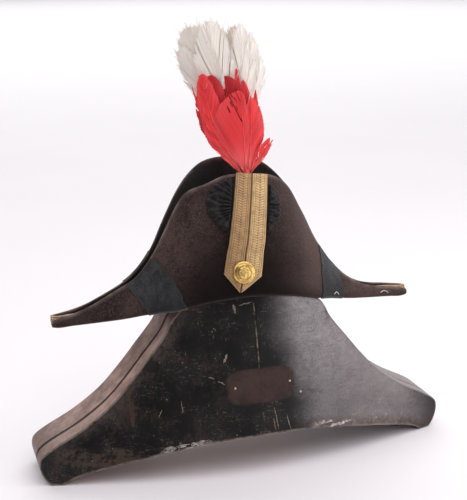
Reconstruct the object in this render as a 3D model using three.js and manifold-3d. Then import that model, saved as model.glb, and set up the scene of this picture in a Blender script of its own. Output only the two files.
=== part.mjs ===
// A cocked hat with its plume, cockade and gold lace, standing on the tin box that it is kept in.
// Millimetres, +Z up, the front faces -Y. The origin is on the floor under the middle of the box.
import * as THREE from 'three';
import { mergeVertices } from 'three/addons/utils/BufferGeometryUtils.js';
import Module from 'manifold-3d';

const wasm = await Module();
wasm.setup();

// Sheet thicknesses, and the clearance between neighbouring pieces
const MERGE_DISTANCE = 1e-3;
const GAP = 0.4;
const FELT = 2.6;
const RIBBON = 0.9;
const LACE = 1.6;
const TIN = 1.2;

// The hat's place on the box: its middle, its small roll, and how far its top sags to the left
const HAT_X = -5;
const HAT_Z = 194.4;
const HAT_ROLL = THREE.MathUtils.degToRad(1.1);
const TOP_HEIGHT = 126;
const TOP_SAG = -5;

// The folded brim in sections from its middle to a tip, heights from the middle of the hat's lower edge.
// fold: the underside. front, rear: the leaves' top edges. reach: half depth at the fold.
// gape: half the opening between the top edges.
const BRIM_SECTIONS = [
  { along: 0, fold: -6, front: 130, rear: 144, reach: 57, gape: 17 },
  { along: 32, fold: -8, front: 128, rear: 139.5, reach: 55.5, gape: 15.5 },
  { along: 48, fold: -10, front: 122, rear: 128.5, reach: 53, gape: 13 },
  { along: 60, fold: -12.5, front: 111.5, rear: 115.5, reach: 49.5, gape: 10.5 },
  { along: 70, fold: -15, front: 95.5, rear: 100.5, reach: 46, gape: 8 },
  { along: 82, fold: -18, front: 71, rear: 78.5, reach: 41, gape: 6 },
  { along: 97, fold: -19.6, front: 43.5, rear: 48, reach: 34, gape: 5.5 },
  { along: 115, fold: -22.7, front: 19.5, rear: 23, reach: 26, gape: 5.5 },
  { along: 135, fold: -25.8, front: 4.5, rear: 5, reach: 19.5, gape: 5.5 },
  { along: 160, fold: -27.8, front: -8, rear: -7.5, reach: 14, gape: 6 },
  { along: 190, fold: -29.4, front: -16.5, rear: -15, reach: 9.8, gape: 6.5 },
  { along: 204, fold: -30.3, front: -19.5, rear: -17.5, reach: 8.4, gape: 6.5 },
  { along: 210, fold: -29.2, front: -21, rear: -18.5, reach: 8, gape: 6.4 },
];
const COLUMN_SPACING = 16;
const NORMAL_STEP = 2;
const FOLD_RADIUS = 3.6;
const FOLD_SHARE = 0.3;
const FOLD_STEPS = 3;
const WALL_STEPS = 4;
const WALL_CURVE = 1.5;
const HORN_LIFT = 5;
const HORN_LIFT_PLACE = 145;
const HORN_LIFT_SPREAD = 30;
const FRONT_DIP = 6.5;
const FRONT_DIP_PLACE = -40;
const FRONT_DIP_SPREAD = 18;

// The oval head opening and the crown that stands in it
const HEAD_HALF_LENGTH = 116;
const HEAD_HALF_WIDTH = 49;
const OPENING_LOW = -45;
const OPENING_HIGH = 5;
const CROWN_HEIGHT = 100;
const CROWN_TAPER = 1.35;
const CROWN_COLUMNS = 28;
const CROWN_ROWS = 6;

// The ribbons across the horns: middle and half width at the fold and at the top edge
const RIBBONS = [
  { side: 'left', way: -1, foldMiddle: 89, foldHalf: 20, topMiddle: 114, topHalf: 15 },
  { side: 'right', way: 1, foldMiddle: 104, foldHalf: 16, topMiddle: 110, topHalf: 12.5 },
];
const RIBBON_LIFT = 1;
const RIBBON_LOW_TURN = 0.2;
const RIBBON_COLUMNS = 4;

// The gold lace loop: its axis runs down the front leaf from the top edge to the point
const LACE_TOP = { along: 13.7, up: 129.3 };
const LACE_POINT = { along: -15.2, up: 9 };
const LACE_HALF_TOP = 18;
const LACE_HALF_FOOT = 20.8;
const LACE_TILT = 0.1;
const LACE_SLIT_HALF = 0.7;
const LACE_SLIT_SLOPE = 1.15;
const LACE_RUN_MIDDLE = 0.5;
const LACE_WEB = 0.5;
const LACE_RAMP_START = 16;
const LACE_RAMP_END = 3;
const LACE_MITRE = 19;
const LACE_ROWS = 10;
const CHANNEL_OVERRUN = 12;
const CHANNEL_MARGIN = 0.6;
const CHANNEL_DEPTH = 0.8;
const CHANNEL_COLUMNS = 4;

// The gathered cockade under the lace
const COCKADE = { along: 0.5, up: 97, radius: 41, flatten: 0.77 };
const COCKADE_LIFT = 1;
const COCKADE_PRESSED = 2;
const COCKADE_RUFFLE = 5;
const PLEAT_COUNT = 18;
const PLEAT_DEPTH = 1.4;
const PLEAT_STEPS = 4;
const COCKADE_RINGS = 2;

// The domed button near the lace's point
const BUTTON_UP = 31;
const BUTTON_RADIUS = 12;
const BUTTON_HEIGHT = 6;
const BUTTON_RIM = 0.9;
const BUTTON_SIDES = 24;
const BUTTON_DOME_STEPS = 5;

// The plume's socket stem and feathers, tips measured in the hat's own frame
const PLUME_FOOT = new THREE.Vector3(12, -21, 95);
const PLUME_NECK = new THREE.Vector3(11, -8, 135);
const PLUME_HEART = new THREE.Vector3(3, -2, 198);
const STEM_RADIUS = 3.4;
const STEM_SIDES = 10;
const CORE_RADIUS = 1.5;
const CORE_SIDES = 8;
const CORE_DEPTH = 0.85;
const BORE_DEPTH = 0.9;
const RED_ROOT_DROP = 3;
const WHITE_ROOT_DROP = 6;
const FEATHER_THICKNESS = 1.8;
const FEATHER_EDGE = 0.3;
const FEATHER_STEPS = 5;
const FEATHER_ROOT = 0.5;
const FEATHER_TIP = 0.25;
const FEATHER_SWELL = 1.4;
const FEATHER_LEAN = 0.35;
const RED_FEATHERS = [
  { tipX: -39, tipY: -11, tipZ: 237, bow: -13, width: 22 },
  { tipX: -26, tipY: -15, tipZ: 237, bow: -7, width: 22 },
  { tipX: -11, tipY: -16, tipZ: 235, bow: -2, width: 22 },
  { tipX: 2, tipY: -13, tipZ: 242, bow: 1, width: 12 },
  { tipX: 13, tipY: -15, tipZ: 227, bow: 3, width: 22 },
  { tipX: 27, tipY: -12, tipZ: 206, bow: 6, width: 20 },
  { tipX: 41, tipY: -10, tipZ: 165, bow: 5, width: 9 },
  { tipX: -31, tipY: 12, tipZ: 224, bow: -11, width: 22 },
  { tipX: -7, tipY: 14, tipZ: 233, bow: -3, width: 24 },
  { tipX: 17, tipY: 14, tipZ: 228, bow: 2, width: 24 },
  { tipX: 34, tipY: 12, tipZ: 206, bow: 5, width: 20 },
];
const WHITE_FEATHERS = [
  { tipX: -58, tipY: -3, tipZ: 260, bow: -7, width: 20 },
  { tipX: -51, tipY: -6, tipZ: 280, bow: -7, width: 22 },
  { tipX: -37, tipY: -8, tipZ: 290, bow: -5, width: 24 },
  { tipX: -22, tipY: -9, tipZ: 292, bow: -4, width: 24 },
  { tipX: -5, tipY: -8, tipZ: 289, bow: -2, width: 24 },
  { tipX: 10, tipY: -8, tipZ: 287, bow: 2, width: 24 },
  { tipX: 21, tipY: -6, tipZ: 275, bow: 4, width: 22 },
  { tipX: 29, tipY: -4, tipZ: 254, bow: 5, width: 20 },
  { tipX: -40, tipY: 8, tipZ: 285, bow: -6, width: 26 },
  { tipX: -8, tipY: 10, tipZ: 290, bow: -3, width: 28 },
  { tipX: 17, tipY: 8, tipZ: 280, bow: 3, width: 26 },
];

// The bullion tassels lying in the horns' tips
const TASSEL_START = 168;
const TASSEL_END = 211;
const TASSEL_HEAD_RADIUS = 4.2;
const TASSEL_HEAD_STRETCH = 1.3;
const TASSEL_HEAD_SIDES = 8;
const TASSEL_HEAD_ROWS = 6;
const STRAND_RADIUS = 1.9;
const STRAND_SIDES = 5;
const STRAND_STEPS = 3;
const STRAND_WAVE = 0.2;
const STRAND_WAVE_TURN = 5;
const STRANDS = [
  { across: -1.9, up: 3.4 },
  { across: 0, up: 3 },
  { across: 1.9, up: 3.4 },
  { across: -1.5, up: 5.9 },
  { across: 1.6, up: 6 },
  { across: 0.1, up: 8.2 },
];

// The tin box in sections from its middle to a lobe's end: its top and its arched underside
const BOX_SECTIONS = [
  { along: 0, top: 214, bottom: 42 },
  { along: 30, top: 212, bottom: 41.6 },
  { along: 56, top: 203, bottom: 39.8 },
  { along: 72, top: 189.6, bottom: 37.8 },
  { along: 83, top: 178, bottom: 36.2 },
  { along: 89, top: 171.5, bottom: 35 },
  { along: 98, top: 155, bottom: 33.2 },
  { along: 118, top: 130, bottom: 29.5 },
  { along: 139, top: 104.5, bottom: 25 },
  { along: 161, top: 81.5, bottom: 20 },
  { along: 189, top: 61, bottom: 13 },
  { along: 206, top: 51.6, bottom: 6.5 },
  { along: 214, top: 47.6, bottom: 1.6 },
  { along: 218, top: 45.6, bottom: 0 },
  { along: 228, top: 40, bottom: 0 },
  { along: 234, top: 36, bottom: 5.5 },
  { along: 238.5, top: 31, bottom: 14.5 },
  { along: 240, top: 24, bottom: 24 },
];
const BOX_HALF_LENGTH = 240;
const RIM_DEPTH_MIDDLE = 28;
const RIM_DEPTH_END = 30.5;
const PANEL_BULGE = 48;
const PANEL_FALL = 1.6;
const PANEL_ROWS = 3;
const PARTING_Y = -10;

// Finishes
const FINISH = {
  felt: { color: 0x2a211d, roughness: 0.95, metalness: 0 },
  ribbon: { color: 0x15171d, roughness: 0.6, metalness: 0 },
  silk: { color: 0x101112, roughness: 0.55, metalness: 0 },
  lace: { color: 0xa98646, roughness: 0.5, metalness: 0.6 },
  gilt: { color: 0xd7a541, roughness: 0.28, metalness: 1 },
  red: { color: 0xc92f33, roughness: 0.75, metalness: 0 },
  white: { color: 0xefebe4, roughness: 0.75, metalness: 0 },
  bullion: { color: 0xb98e55, roughness: 0.5, metalness: 0.6 },
  japan: { color: 0x1d1a19, roughness: 0.45, metalness: 0.3 },
};

// Turns a list of triangle corners into one closed geometry whose faces point out
function closed(corners) {
  const loose = new THREE.BufferGeometry().setFromPoints(corners);
  return tidy(loose);
}

// Merges shared corners, drops flat triangles and turns the faces outward
function tidy(geometry) {
  const bare = new THREE.BufferGeometry().setAttribute('position', geometry.getAttribute('position'));
  bare.setIndex(geometry.index);
  const merged = mergeVertices(bare, MERGE_DISTANCE);
  const from = merged.index.array;
  const kept = [];
  for (let i = 0; i < from.length; i += 3) {
    const [a, b, c] = [from[i], from[i + 1], from[i + 2]];
    if (a !== b && b !== c && c !== a) kept.push(a, b, c);
  }
  if (signedVolume(merged.getAttribute('position'), kept) < 0) kept.reverse();
  merged.setIndex(kept);
  return merged;
}

function signedVolume(position, index) {
  const corner = [new THREE.Vector3(), new THREE.Vector3(), new THREE.Vector3()];
  let sum = 0;
  for (let i = 0; i < index.length; i += 3) {
    corner.forEach((point, k) => point.fromBufferAttribute(position, index[i + k]));
    sum += corner[0].dot(corner[1].cross(corner[2]));
  }
  return sum / 6;
}

// A closed slab between two grids of points, stitched along its edges
function slab(columns, rows, upper, lower, wraps = false) {
  const corners = [];
  const quad = (a, b, c, d) => corners.push(a, b, c, a, c, d);
  for (let i = 0; i < columns; i++) {
    for (let j = 0; j < rows; j++) {
      quad(upper(i, j), upper(i + 1, j), upper(i + 1, j + 1), upper(i, j + 1));
      quad(lower(i, j), lower(i, j + 1), lower(i + 1, j + 1), lower(i + 1, j));
    }
    quad(lower(i, 0), lower(i + 1, 0), upper(i + 1, 0), upper(i, 0));
    quad(upper(i, rows), upper(i + 1, rows), lower(i + 1, rows), lower(i, rows));
  }
  for (let j = 0; j < rows && !wraps; j++) {
    quad(upper(0, j), upper(0, j + 1), lower(0, j + 1), lower(0, j));
    quad(lower(columns, j), lower(columns, j + 1), upper(columns, j + 1), upper(columns, j));
  }
  return closed(corners);
}

// Joins and cuts of closed geometries
function solidOf(geometry) {
  const shape = tidy(geometry);
  return new wasm.Manifold(new wasm.Mesh({
    numProp: 3,
    vertProperties: new Float32Array(shape.getAttribute('position').array),
    triVerts: new Uint32Array(shape.index.array),
  }));
}

function geometryOf(solid) {
  const mesh = solid.getMesh();
  const geometry = new THREE.BufferGeometry();
  geometry.setAttribute('position', new THREE.BufferAttribute(mesh.vertProperties, mesh.numProp));
  geometry.setIndex(new THREE.BufferAttribute(mesh.triVerts, 1));
  return geometry;
}

function cut(geometry, cutter) {
  return geometryOf(solidOf(geometry).subtract(solidOf(cutter)));
}

function fuse(geometries) {
  return geometryOf(geometries.map(solidOf).reduce((whole, next) => whole.add(next)));
}

// A smooth curve through one column of a table of sections, the same on both sides of the middle
function columnCurve(table, name) {
  const places = table.map((row) => row.along);
  const values = table.map((row) => row[name]);
  const curve = new THREE.CubicInterpolant(places, values, 1);
  curve.settings = { endingStart: THREE.ZeroSlopeEnding, endingEnd: THREE.ZeroCurvatureEnding };
  return (along) => curve.evaluate(Math.abs(along))[0];
}

const brimCurve = {};
for (const name of ['fold', 'front', 'rear', 'reach', 'gape']) {
  brimCurve[name] = columnCurve(BRIM_SECTIONS, name);
}

// The left horn's edges stand a little higher than the right's
function hornLift(along) {
  const offset = (Math.abs(along) - HORN_LIFT_PLACE) / HORN_LIFT_SPREAD;
  return -Math.sign(along) * HORN_LIFT * Math.exp(-offset * offset);
}

// The front leaf's top edge sinks a little left of the cockade
function frontDip(along) {
  const offset = (along - FRONT_DIP_PLACE) / FRONT_DIP_SPREAD;
  return FRONT_DIP * Math.exp(-offset * offset);
}

function brimSize(along, side) {
  const fold = brimCurve.fold(along);
  const reach = brimCurve.reach(along);
  const corner = fold + Math.sqrt(FOLD_RADIUS * reach);
  const edge = side < 0 ? brimCurve.front(along) - frontDip(along) : brimCurve.rear(along);
  return { fold, reach, corner, top: edge + hornLift(along), gape: brimCurve.gape(along) };
}

// A point of the brim's section. turn runs from -1, the front leaf's top edge, through 0 under the fold
// to 1, the rear leaf's top edge. raise lifts the point off the outer skin.
function brimPoint(along, turn, raise) {
  const side = Math.sign(turn);
  const size = brimSize(along, side);
  const share = Math.abs(turn);
  if (share <= FOLD_SHARE) {
    const angle = (share / FOLD_SHARE) * Math.PI / 2;
    const rise = size.corner - size.fold;
    const normal = new THREE.Vector2(Math.sin(angle) / size.reach, -Math.cos(angle) / rise).normalize();
    const out = size.reach * Math.sin(angle) + raise * normal.x;
    return new THREE.Vector3(along, side * out, size.fold + rise * (1 - Math.cos(angle)) + raise * normal.y);
  }
  return wallPoint(along, side, (share - FOLD_SHARE) / (1 - FOLD_SHARE), raise);
}

// A point of a leaf, from 0 at the top of the rounded fold to 1 at the top edge
function wallPoint(along, side, climb, raise) {
  const size = brimSize(along, side);
  const climbed = Math.max(climb, 0);
  const lean = size.reach - size.gape;
  const height = size.top - size.corner;
  const slope = lean * WALL_CURVE * climbed ** (WALL_CURVE - 1);
  const normal = new THREE.Vector2(height, slope).normalize();
  const out = size.reach - lean * climbed ** WALL_CURVE + raise * normal.x;
  return new THREE.Vector3(along, side * out, size.corner + height * climb + raise * normal.y);
}

// A point on the front leaf's skin above a place along the hat, at a height
function frontPoint(along, up, raise) {
  const size = brimSize(along, -1);
  return wallPoint(along, -1, (up - size.corner) / (size.top - size.corner), raise);
}

function frontNormal(along, up) {
  const across = frontPoint(along + NORMAL_STEP, up, 0).sub(frontPoint(along - NORMAL_STEP, up, 0));
  const upward = frontPoint(along, up + NORMAL_STEP, 0).sub(frontPoint(along, up - NORMAL_STEP, 0));
  return across.cross(upward).normalize();
}

// Places along the hat, from the left tip to the right, a few between each two sections
function brimColumns() {
  const half = [];
  for (let k = 1; k < BRIM_SECTIONS.length; k++) {
    const from = BRIM_SECTIONS[k - 1].along;
    const span = BRIM_SECTIONS[k].along - from;
    const steps = Math.ceil(span / COLUMN_SPACING);
    for (let n = 1; n <= steps; n++) half.push(from + span * n / steps);
  }
  return [...half.map((along) => -along).reverse(), 0, ...half];
}

function brimTurns() {
  const half = [];
  for (let n = 1; n <= FOLD_STEPS; n++) half.push(FOLD_SHARE * n / FOLD_STEPS);
  for (let n = 1; n <= WALL_STEPS; n++) half.push(FOLD_SHARE + (1 - FOLD_SHARE) * n / WALL_STEPS);
  return [...half.map((turn) => -turn).reverse(), 0, ...half];
}

// The felt brim: one sheet folded up into two leaves, with the oval head opening cut through the fold
function brimGeometry() {
  const columns = brimColumns();
  const turns = brimTurns();
  const outer = (i, j) => brimPoint(columns[i], turns[j], 0);
  const inner = (i, j) => brimPoint(columns[i], turns[j], -FELT);
  const folded = slab(columns.length - 1, turns.length - 1, outer, inner);
  const opening = new THREE.CylinderGeometry(1, 1, OPENING_HIGH - OPENING_LOW, 2 * CROWN_COLUMNS);
  opening.rotateX(Math.PI / 2);
  opening.scale(HEAD_HALF_LENGTH, HEAD_HALF_WIDTH, 1);
  opening.translate(0, 0, (OPENING_LOW + OPENING_HIGH) / 2);
  return cut(folded, opening);
}

// Height of the brim's underside at the edge of the head opening
function openingHeight(along, depth) {
  const size = brimSize(along, -1);
  const share = Math.min(Math.abs(depth) / size.reach, 1);
  return size.fold + (size.corner - size.fold) * (1 - Math.sqrt(1 - share * share));
}

// The hollow crown: a dome whose foot follows the edge of the head opening
function crownGeometry() {
  const point = (i, j, inset) => {
    const around = 2 * Math.PI * i / CROWN_COLUMNS;
    const tilt = (Math.PI / 2) * (j / CROWN_ROWS);
    const foot = openingHeight(HEAD_HALF_LENGTH * Math.cos(around), HEAD_HALF_WIDTH * Math.sin(around));
    const rise = CROWN_HEIGHT - inset - foot;
    const narrow = Math.max(Math.cos(tilt), 0) ** CROWN_TAPER;
    return new THREE.Vector3(
      (HEAD_HALF_LENGTH - GAP - inset) * Math.cos(around) * narrow,
      (HEAD_HALF_WIDTH - GAP - inset) * Math.sin(around) * narrow,
      foot + rise * Math.sin(tilt) ** CROWN_TAPER,
    );
  };
  return slab(CROWN_COLUMNS, CROWN_ROWS, (i, j) => point(i, j, 0), (i, j) => point(i, j, FELT), true);
}

// One ribbon on the outside of a leaf, from its top edge down to the fold
function ribbonGeometry(row, leaf) {
  const turns = brimTurns().filter((turn) => turn >= RIBBON_LOW_TURN);
  const place = (i, j, raise) => {
    const climb = (turns[j] - RIBBON_LOW_TURN) / (1 - RIBBON_LOW_TURN);
    const middle = THREE.MathUtils.lerp(row.foldMiddle, row.topMiddle, climb);
    const half = THREE.MathUtils.lerp(row.foldHalf, row.topHalf, climb);
    const along = row.way * (middle + half * (2 * i / RIBBON_COLUMNS - 1));
    return brimPoint(along, leaf * turns[j], raise);
  };
  const top = (i, j) => place(i, j, RIBBON_LIFT + RIBBON);
  const under = (i, j) => place(i, j, RIBBON_LIFT);
  return slab(RIBBON_COLUMNS, turns.length - 1, top, under);
}

// The lace's axis down the leaf
const LACE_SLANT = (LACE_TOP.along - LACE_POINT.along) / (LACE_TOP.up - LACE_POINT.up);

function laceAxis(up) {
  return LACE_POINT.along + (up - LACE_POINT.up) * LACE_SLANT;
}

// The lace lies on the cockade above, and comes down to the felt below it
function laceLift(up) {
  const bottom = COCKADE.up - COCKADE.radius * COCKADE.flatten;
  const onCockade = THREE.MathUtils.smoothstep(up, bottom - LACE_RAMP_START, bottom - LACE_RAMP_END);
  return GAP + onCockade * (COCKADE_LIFT + COCKADE_PRESSED);
}

// A place on the lace: across it from -1 to 1, and down it from 0 at its top to 1 at its pointed end
function lacePoint(across, down, margin, topUp, raise) {
  const low = LACE_POINT.up + LACE_MITRE * Math.abs(across);
  const middle = THREE.MathUtils.lerp(topUp, low, down);
  const aside = across * (THREE.MathUtils.lerp(LACE_HALF_TOP, LACE_HALF_FOOT, down) + margin);
  const up = middle - aside * LACE_TILT;
  return frontPoint(laceAxis(middle) + aside, up, laceLift(up) + raise);
}

// The gold lace loop: two runs side by side with a slit between them, meeting in a mitred point
function laceGeometry() {
  const inner = LACE_SLIT_HALF / LACE_HALF_TOP;
  const outer = LACE_SLIT_SLOPE * inner;
  const half = [inner, outer, LACE_RUN_MIDDLE, 1];
  const places = [...half.map((across) => -across).reverse(), ...half];
  const place = (i, j, raise) => lacePoint(places[i], j / LACE_ROWS, 0, LACE_TOP.up, raise);
  const thickness = (i) => (Math.abs(places[i]) <= inner ? LACE_WEB : LACE);
  return slab(places.length - 1, LACE_ROWS, (i, j) => place(i, j, thickness(i)), (i, j) => place(i, j, 0));
}

// The channel that the lace presses into the cockade
function laceChannel() {
  const rows = 2 * LACE_ROWS;
  const place = (i, j, raise) =>
    lacePoint(2 * i / CHANNEL_COLUMNS - 1, j / rows, CHANNEL_MARGIN, LACE_TOP.up + CHANNEL_OVERRUN, raise);
  const above = (i, j) => place(i, j, CHANNEL_OVERRUN);
  const below = (i, j) => place(i, j, -CHANNEL_DEPTH);
  return slab(CHANNEL_COLUMNS, rows, above, below);
}

// The gathered rosette, pressed flat under the lace and ruffled on both sides of it
function cockadeGeometry() {
  const columns = PLEAT_COUNT * PLEAT_STEPS;
  const place = (i, j, raised) => {
    const around = 2 * Math.PI * i / columns;
    const share = j / COCKADE_RINGS;
    const pleat = Math.cos(PLEAT_COUNT * around) * share;
    const reach = (COCKADE.radius + PLEAT_DEPTH * pleat) * share;
    const along = COCKADE.along + reach * Math.cos(around);
    const up = COCKADE.up + reach * Math.sin(around) * COCKADE.flatten;
    return frontPoint(along, up, COCKADE_LIFT + raised * (COCKADE_RUFFLE + PLEAT_DEPTH * pleat));
  };
  const rosette = slab(columns, COCKADE_RINGS, (i, j) => place(i, j, 1), (i, j) => place(i, j, 0), true);
  return cut(rosette, laceChannel());
}

// The domed button with its rolled rim, about its own axis +Y
function buttonGeometry() {
  const profile = [
    new THREE.Vector2(0, 0),
    new THREE.Vector2(BUTTON_RADIUS - BUTTON_RIM, 0),
    new THREE.Vector2(BUTTON_RADIUS, BUTTON_RIM),
    new THREE.Vector2(BUTTON_RADIUS - BUTTON_RIM / 2, 2 * BUTTON_RIM),
    new THREE.Vector2(BUTTON_RADIUS - 2 * BUTTON_RIM, 2 * BUTTON_RIM),
  ];
  const domeRadius = BUTTON_RADIUS - 2 * BUTTON_RIM;
  for (let n = 1; n <= BUTTON_DOME_STEPS; n++) {
    const angle = (Math.PI / 2) * n / BUTTON_DOME_STEPS;
    const rise = (BUTTON_HEIGHT - 2 * BUTTON_RIM) * Math.sin(angle);
    const out = n === BUTTON_DOME_STEPS ? 0 : domeRadius * Math.cos(angle);
    profile.push(new THREE.Vector2(out, 2 * BUTTON_RIM + rise));
  }
  return tidy(new THREE.LatheGeometry(profile, BUTTON_SIDES));
}

// One feather: a thin blade, thicker along its quill, bowed sideways between its root and its tip
function featherGeometry(root, row) {
  const tip = new THREE.Vector3(row.tipX, row.tipY, row.tipZ);
  const bend = root.clone().lerp(tip, 0.5);
  bend.x += row.bow;
  bend.y += (tip.y - root.y) * FEATHER_LEAN;
  const quill = new THREE.QuadraticBezierCurve3(root, bend, tip);
  const place = (i, j, face) => {
    const share = i / FEATHER_STEPS;
    const across = j - 1;
    const run = quill.getTangent(share);
    const sideways = new THREE.Vector3(run.z, 0, -run.x).normalize();
    const blunt = THREE.MathUtils.lerp(FEATHER_ROOT, FEATHER_TIP, share);
    const half = (row.width / 2) * (blunt + (1 - blunt) * Math.sin(Math.PI * share ** FEATHER_SWELL));
    const thick = across === 0 ? FEATHER_THICKNESS : FEATHER_EDGE;
    return quill.getPoint(share).addScaledVector(sideways, half * across).add(
      new THREE.Vector3(0, face * thick / 2, 0));
  };
  return slab(FEATHER_STEPS, 2, (i, j) => place(i, j, -1), (i, j) => place(i, j, 1));
}

// A round rod or tube wall along a path
function rod(points, radius, sides) {
  const section = new THREE.Shape(new THREE.EllipseCurve(0, 0, radius, radius).getPoints(sides).slice(0, -1));
  const extrudePath = new THREE.CatmullRomCurve3(points);
  return tidy(new THREE.ExtrudeGeometry(section, { steps: points.length - 1, extrudePath }));
}

// The lower red feathers, in front of and behind the white ones, on a stem with a bored core
function redPlumeGeometry() {
  const stem = rod([PLUME_FOOT, PLUME_NECK], STEM_RADIUS, STEM_SIDES);
  const feathers = RED_FEATHERS.map((row) => {
    const root = PLUME_NECK.clone();
    root.y += Math.sign(row.tipY) * (CORE_RADIUS + GAP + FEATHER_THICKNESS / 2);
    root.z -= RED_ROOT_DROP;
    return featherGeometry(root, row);
  });
  const boreFoot = PLUME_NECK.clone().lerp(PLUME_FOOT, BORE_DEPTH);
  const bore = rod([boreFoot, PLUME_NECK, PLUME_HEART], CORE_RADIUS + GAP, CORE_SIDES);
  return cut(fuse([stem, ...feathers]), bore);
}

// The upper white feathers on their thin core, which stands in the red feathers' stem
function whitePlumeGeometry() {
  const coreFoot = PLUME_NECK.clone().lerp(PLUME_FOOT, CORE_DEPTH);
  const core = rod([coreFoot, PLUME_NECK, PLUME_HEART], CORE_RADIUS, CORE_SIDES);
  const root = PLUME_HEART.clone().setZ(PLUME_HEART.z - WHITE_ROOT_DROP);
  const feathers = WHITE_FEATHERS.map((row) => featherGeometry(root, row));
  return fuse([core, ...feathers]);
}

// A tassel of twisted bullion strands behind a knotted head, lying in the trough of one horn
function tasselGeometry(way) {
  const bed = (along) => brimCurve.fold(along) + FELT + GAP;
  const strands = STRANDS.map((row, n) => {
    const points = [];
    for (let k = 0; k <= STRAND_STEPS; k++) {
      const share = k / STRAND_STEPS;
      const along = THREE.MathUtils.lerp(TASSEL_START, TASSEL_END, share);
      const wave = STRAND_WAVE * Math.sin(STRAND_WAVE_TURN * share + n);
      points.push(new THREE.Vector3(way * along, row.across + wave, bed(along) + row.up));
    }
    return rod(points, STRAND_RADIUS, STRAND_SIDES);
  });
  const head = new THREE.SphereGeometry(TASSEL_HEAD_RADIUS, TASSEL_HEAD_SIDES, TASSEL_HEAD_ROWS);
  head.scale(TASSEL_HEAD_STRETCH, 1, 1);
  head.translate(way * TASSEL_START, 0, bed(TASSEL_START) + TASSEL_HEAD_RADIUS);
  return fuse([head, ...strands]);
}

// Depth of one face of the box, running out straight from its rim to the foot of the panel
function panelDepth(along, climb) {
  const share = Math.abs(along) / BOX_HALF_LENGTH;
  const rim = THREE.MathUtils.lerp(RIM_DEPTH_MIDDLE, RIM_DEPTH_END, share);
  return rim + PANEL_BULGE * (1 - share ** PANEL_FALL) * (1 - climb);
}

// The box's outline, drawn in by an even margin
function boxOutline(margin) {
  const draw = (name, outward) => BOX_SECTIONS.map((row, k) => {
    const before = BOX_SECTIONS[Math.max(k - 1, 0)];
    const after = BOX_SECTIONS[Math.min(k + 1, BOX_SECTIONS.length - 1)];
    const run = new THREE.Vector2(after.along - before.along, after[name] - before[name]);
    const normal = new THREE.Vector2(-run.y, run.x).normalize().multiplyScalar(outward);
    const last = k === BOX_SECTIONS.length - 1;
    if (last) normal.set(1, 0);
    if (k === 0) normal.set(0, outward);
    return new THREE.Vector2(row.along, row[name]).addScaledVector(normal, -margin);
  });
  return { top: draw('top', 1), bottom: draw('bottom', -1) };
}

// A full loaf from the parting plane out to one face, drawn in by a margin
function loafGeometry(side, partingY, margin) {
  const outline = boxOutline(margin);
  const half = BOX_SECTIONS.length - 1;
  const flat = (i, j) => {
    const k = Math.abs(i - half);
    const climb = j / PANEL_ROWS;
    const spot = outline.bottom[k].clone().lerp(outline.top[k], climb);
    return { along: Math.sign(i - half) * spot.x, up: spot.y, climb };
  };
  const face = (i, j) => {
    const spot = flat(i, j);
    const depth = panelDepth(spot.along, spot.climb) - margin;
    return new THREE.Vector3(spot.along, side * depth, spot.up);
  };
  const back = (i, j) => {
    const spot = flat(i, j);
    return new THREE.Vector3(spot.along, partingY, spot.up);
  };
  return slab(2 * half, PANEL_ROWS, face, back);
}

// One half of the tin box: an open shell of sheet
function boxShellGeometry(side) {
  const partingY = PARTING_Y + side * GAP / 2;
  return cut(loafGeometry(side, partingY, 0), loafGeometry(side, partingY - side * TIN, TIN));
}

function piece(name, geometry, finish) {
  const mesh = new THREE.Mesh(geometry, new THREE.MeshStandardMaterial(FINISH[finish]));
  mesh.name = name;
  return mesh;
}

// The hat's own pieces sag to the left as they rise
const sag = new THREE.Matrix4().makeShear(0, 0, 0, 0, TOP_SAG / TOP_HEIGHT, 0);

function hatPiece(name, geometry, finish) {
  return piece(name, geometry.applyMatrix4(sag), finish);
}

const hat = new THREE.Group();
hat.position.set(HAT_X, 0, HAT_Z);
hat.rotation.y = HAT_ROLL;
hat.add(hatPiece('brim', brimGeometry(), 'felt'));
hat.add(hatPiece('crown', crownGeometry(), 'felt'));
for (const row of RIBBONS) {
  hat.add(hatPiece(`ribbon_front_${row.side}`, ribbonGeometry(row, -1), 'ribbon'));
  hat.add(hatPiece(`ribbon_rear_${row.side}`, ribbonGeometry(row, 1), 'ribbon'));
}
hat.add(hatPiece('cockade', cockadeGeometry(), 'silk'));
hat.add(hatPiece('lace_loop', laceGeometry(), 'lace'));

const buttonAlong = laceAxis(BUTTON_UP);
const buttonNormal = frontNormal(buttonAlong, BUTTON_UP);
const buttonSeat = laceLift(BUTTON_UP) + LACE + GAP;
const button = buttonGeometry();
button.applyQuaternion(new THREE.Quaternion().setFromUnitVectors(new THREE.Vector3(0, 1, 0), buttonNormal));
button.translate(...frontPoint(buttonAlong, BUTTON_UP, 0).addScaledVector(buttonNormal, buttonSeat));
hat.add(hatPiece('button', button, 'gilt'));

hat.add(hatPiece('plume_red', redPlumeGeometry(), 'red'));
hat.add(hatPiece('plume_white', whitePlumeGeometry(), 'white'));
hat.add(hatPiece('tassel_left', tasselGeometry(-1), 'bullion'));
hat.add(hatPiece('tassel_right', tasselGeometry(1), 'bullion'));

const object = new THREE.Group();
object.add(hat);
object.add(piece('box_front', boxShellGeometry(-1), 'japan'));
object.add(piece('box_rear', boxShellGeometry(1), 'japan'));

export default object;
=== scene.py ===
# The cocked hat on its tin box, dressed for the picture: felt, silk, gold lace, feathers and japanned tin.
# Lengths are millimetres in the hat's or the box's own frame until a mesh is made.
import math
from collections import namedtuple

import bmesh
import bpy
import numpy as np
from mathutils import Matrix, Vector
from mathutils.bvhtree import BVHTree


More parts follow.
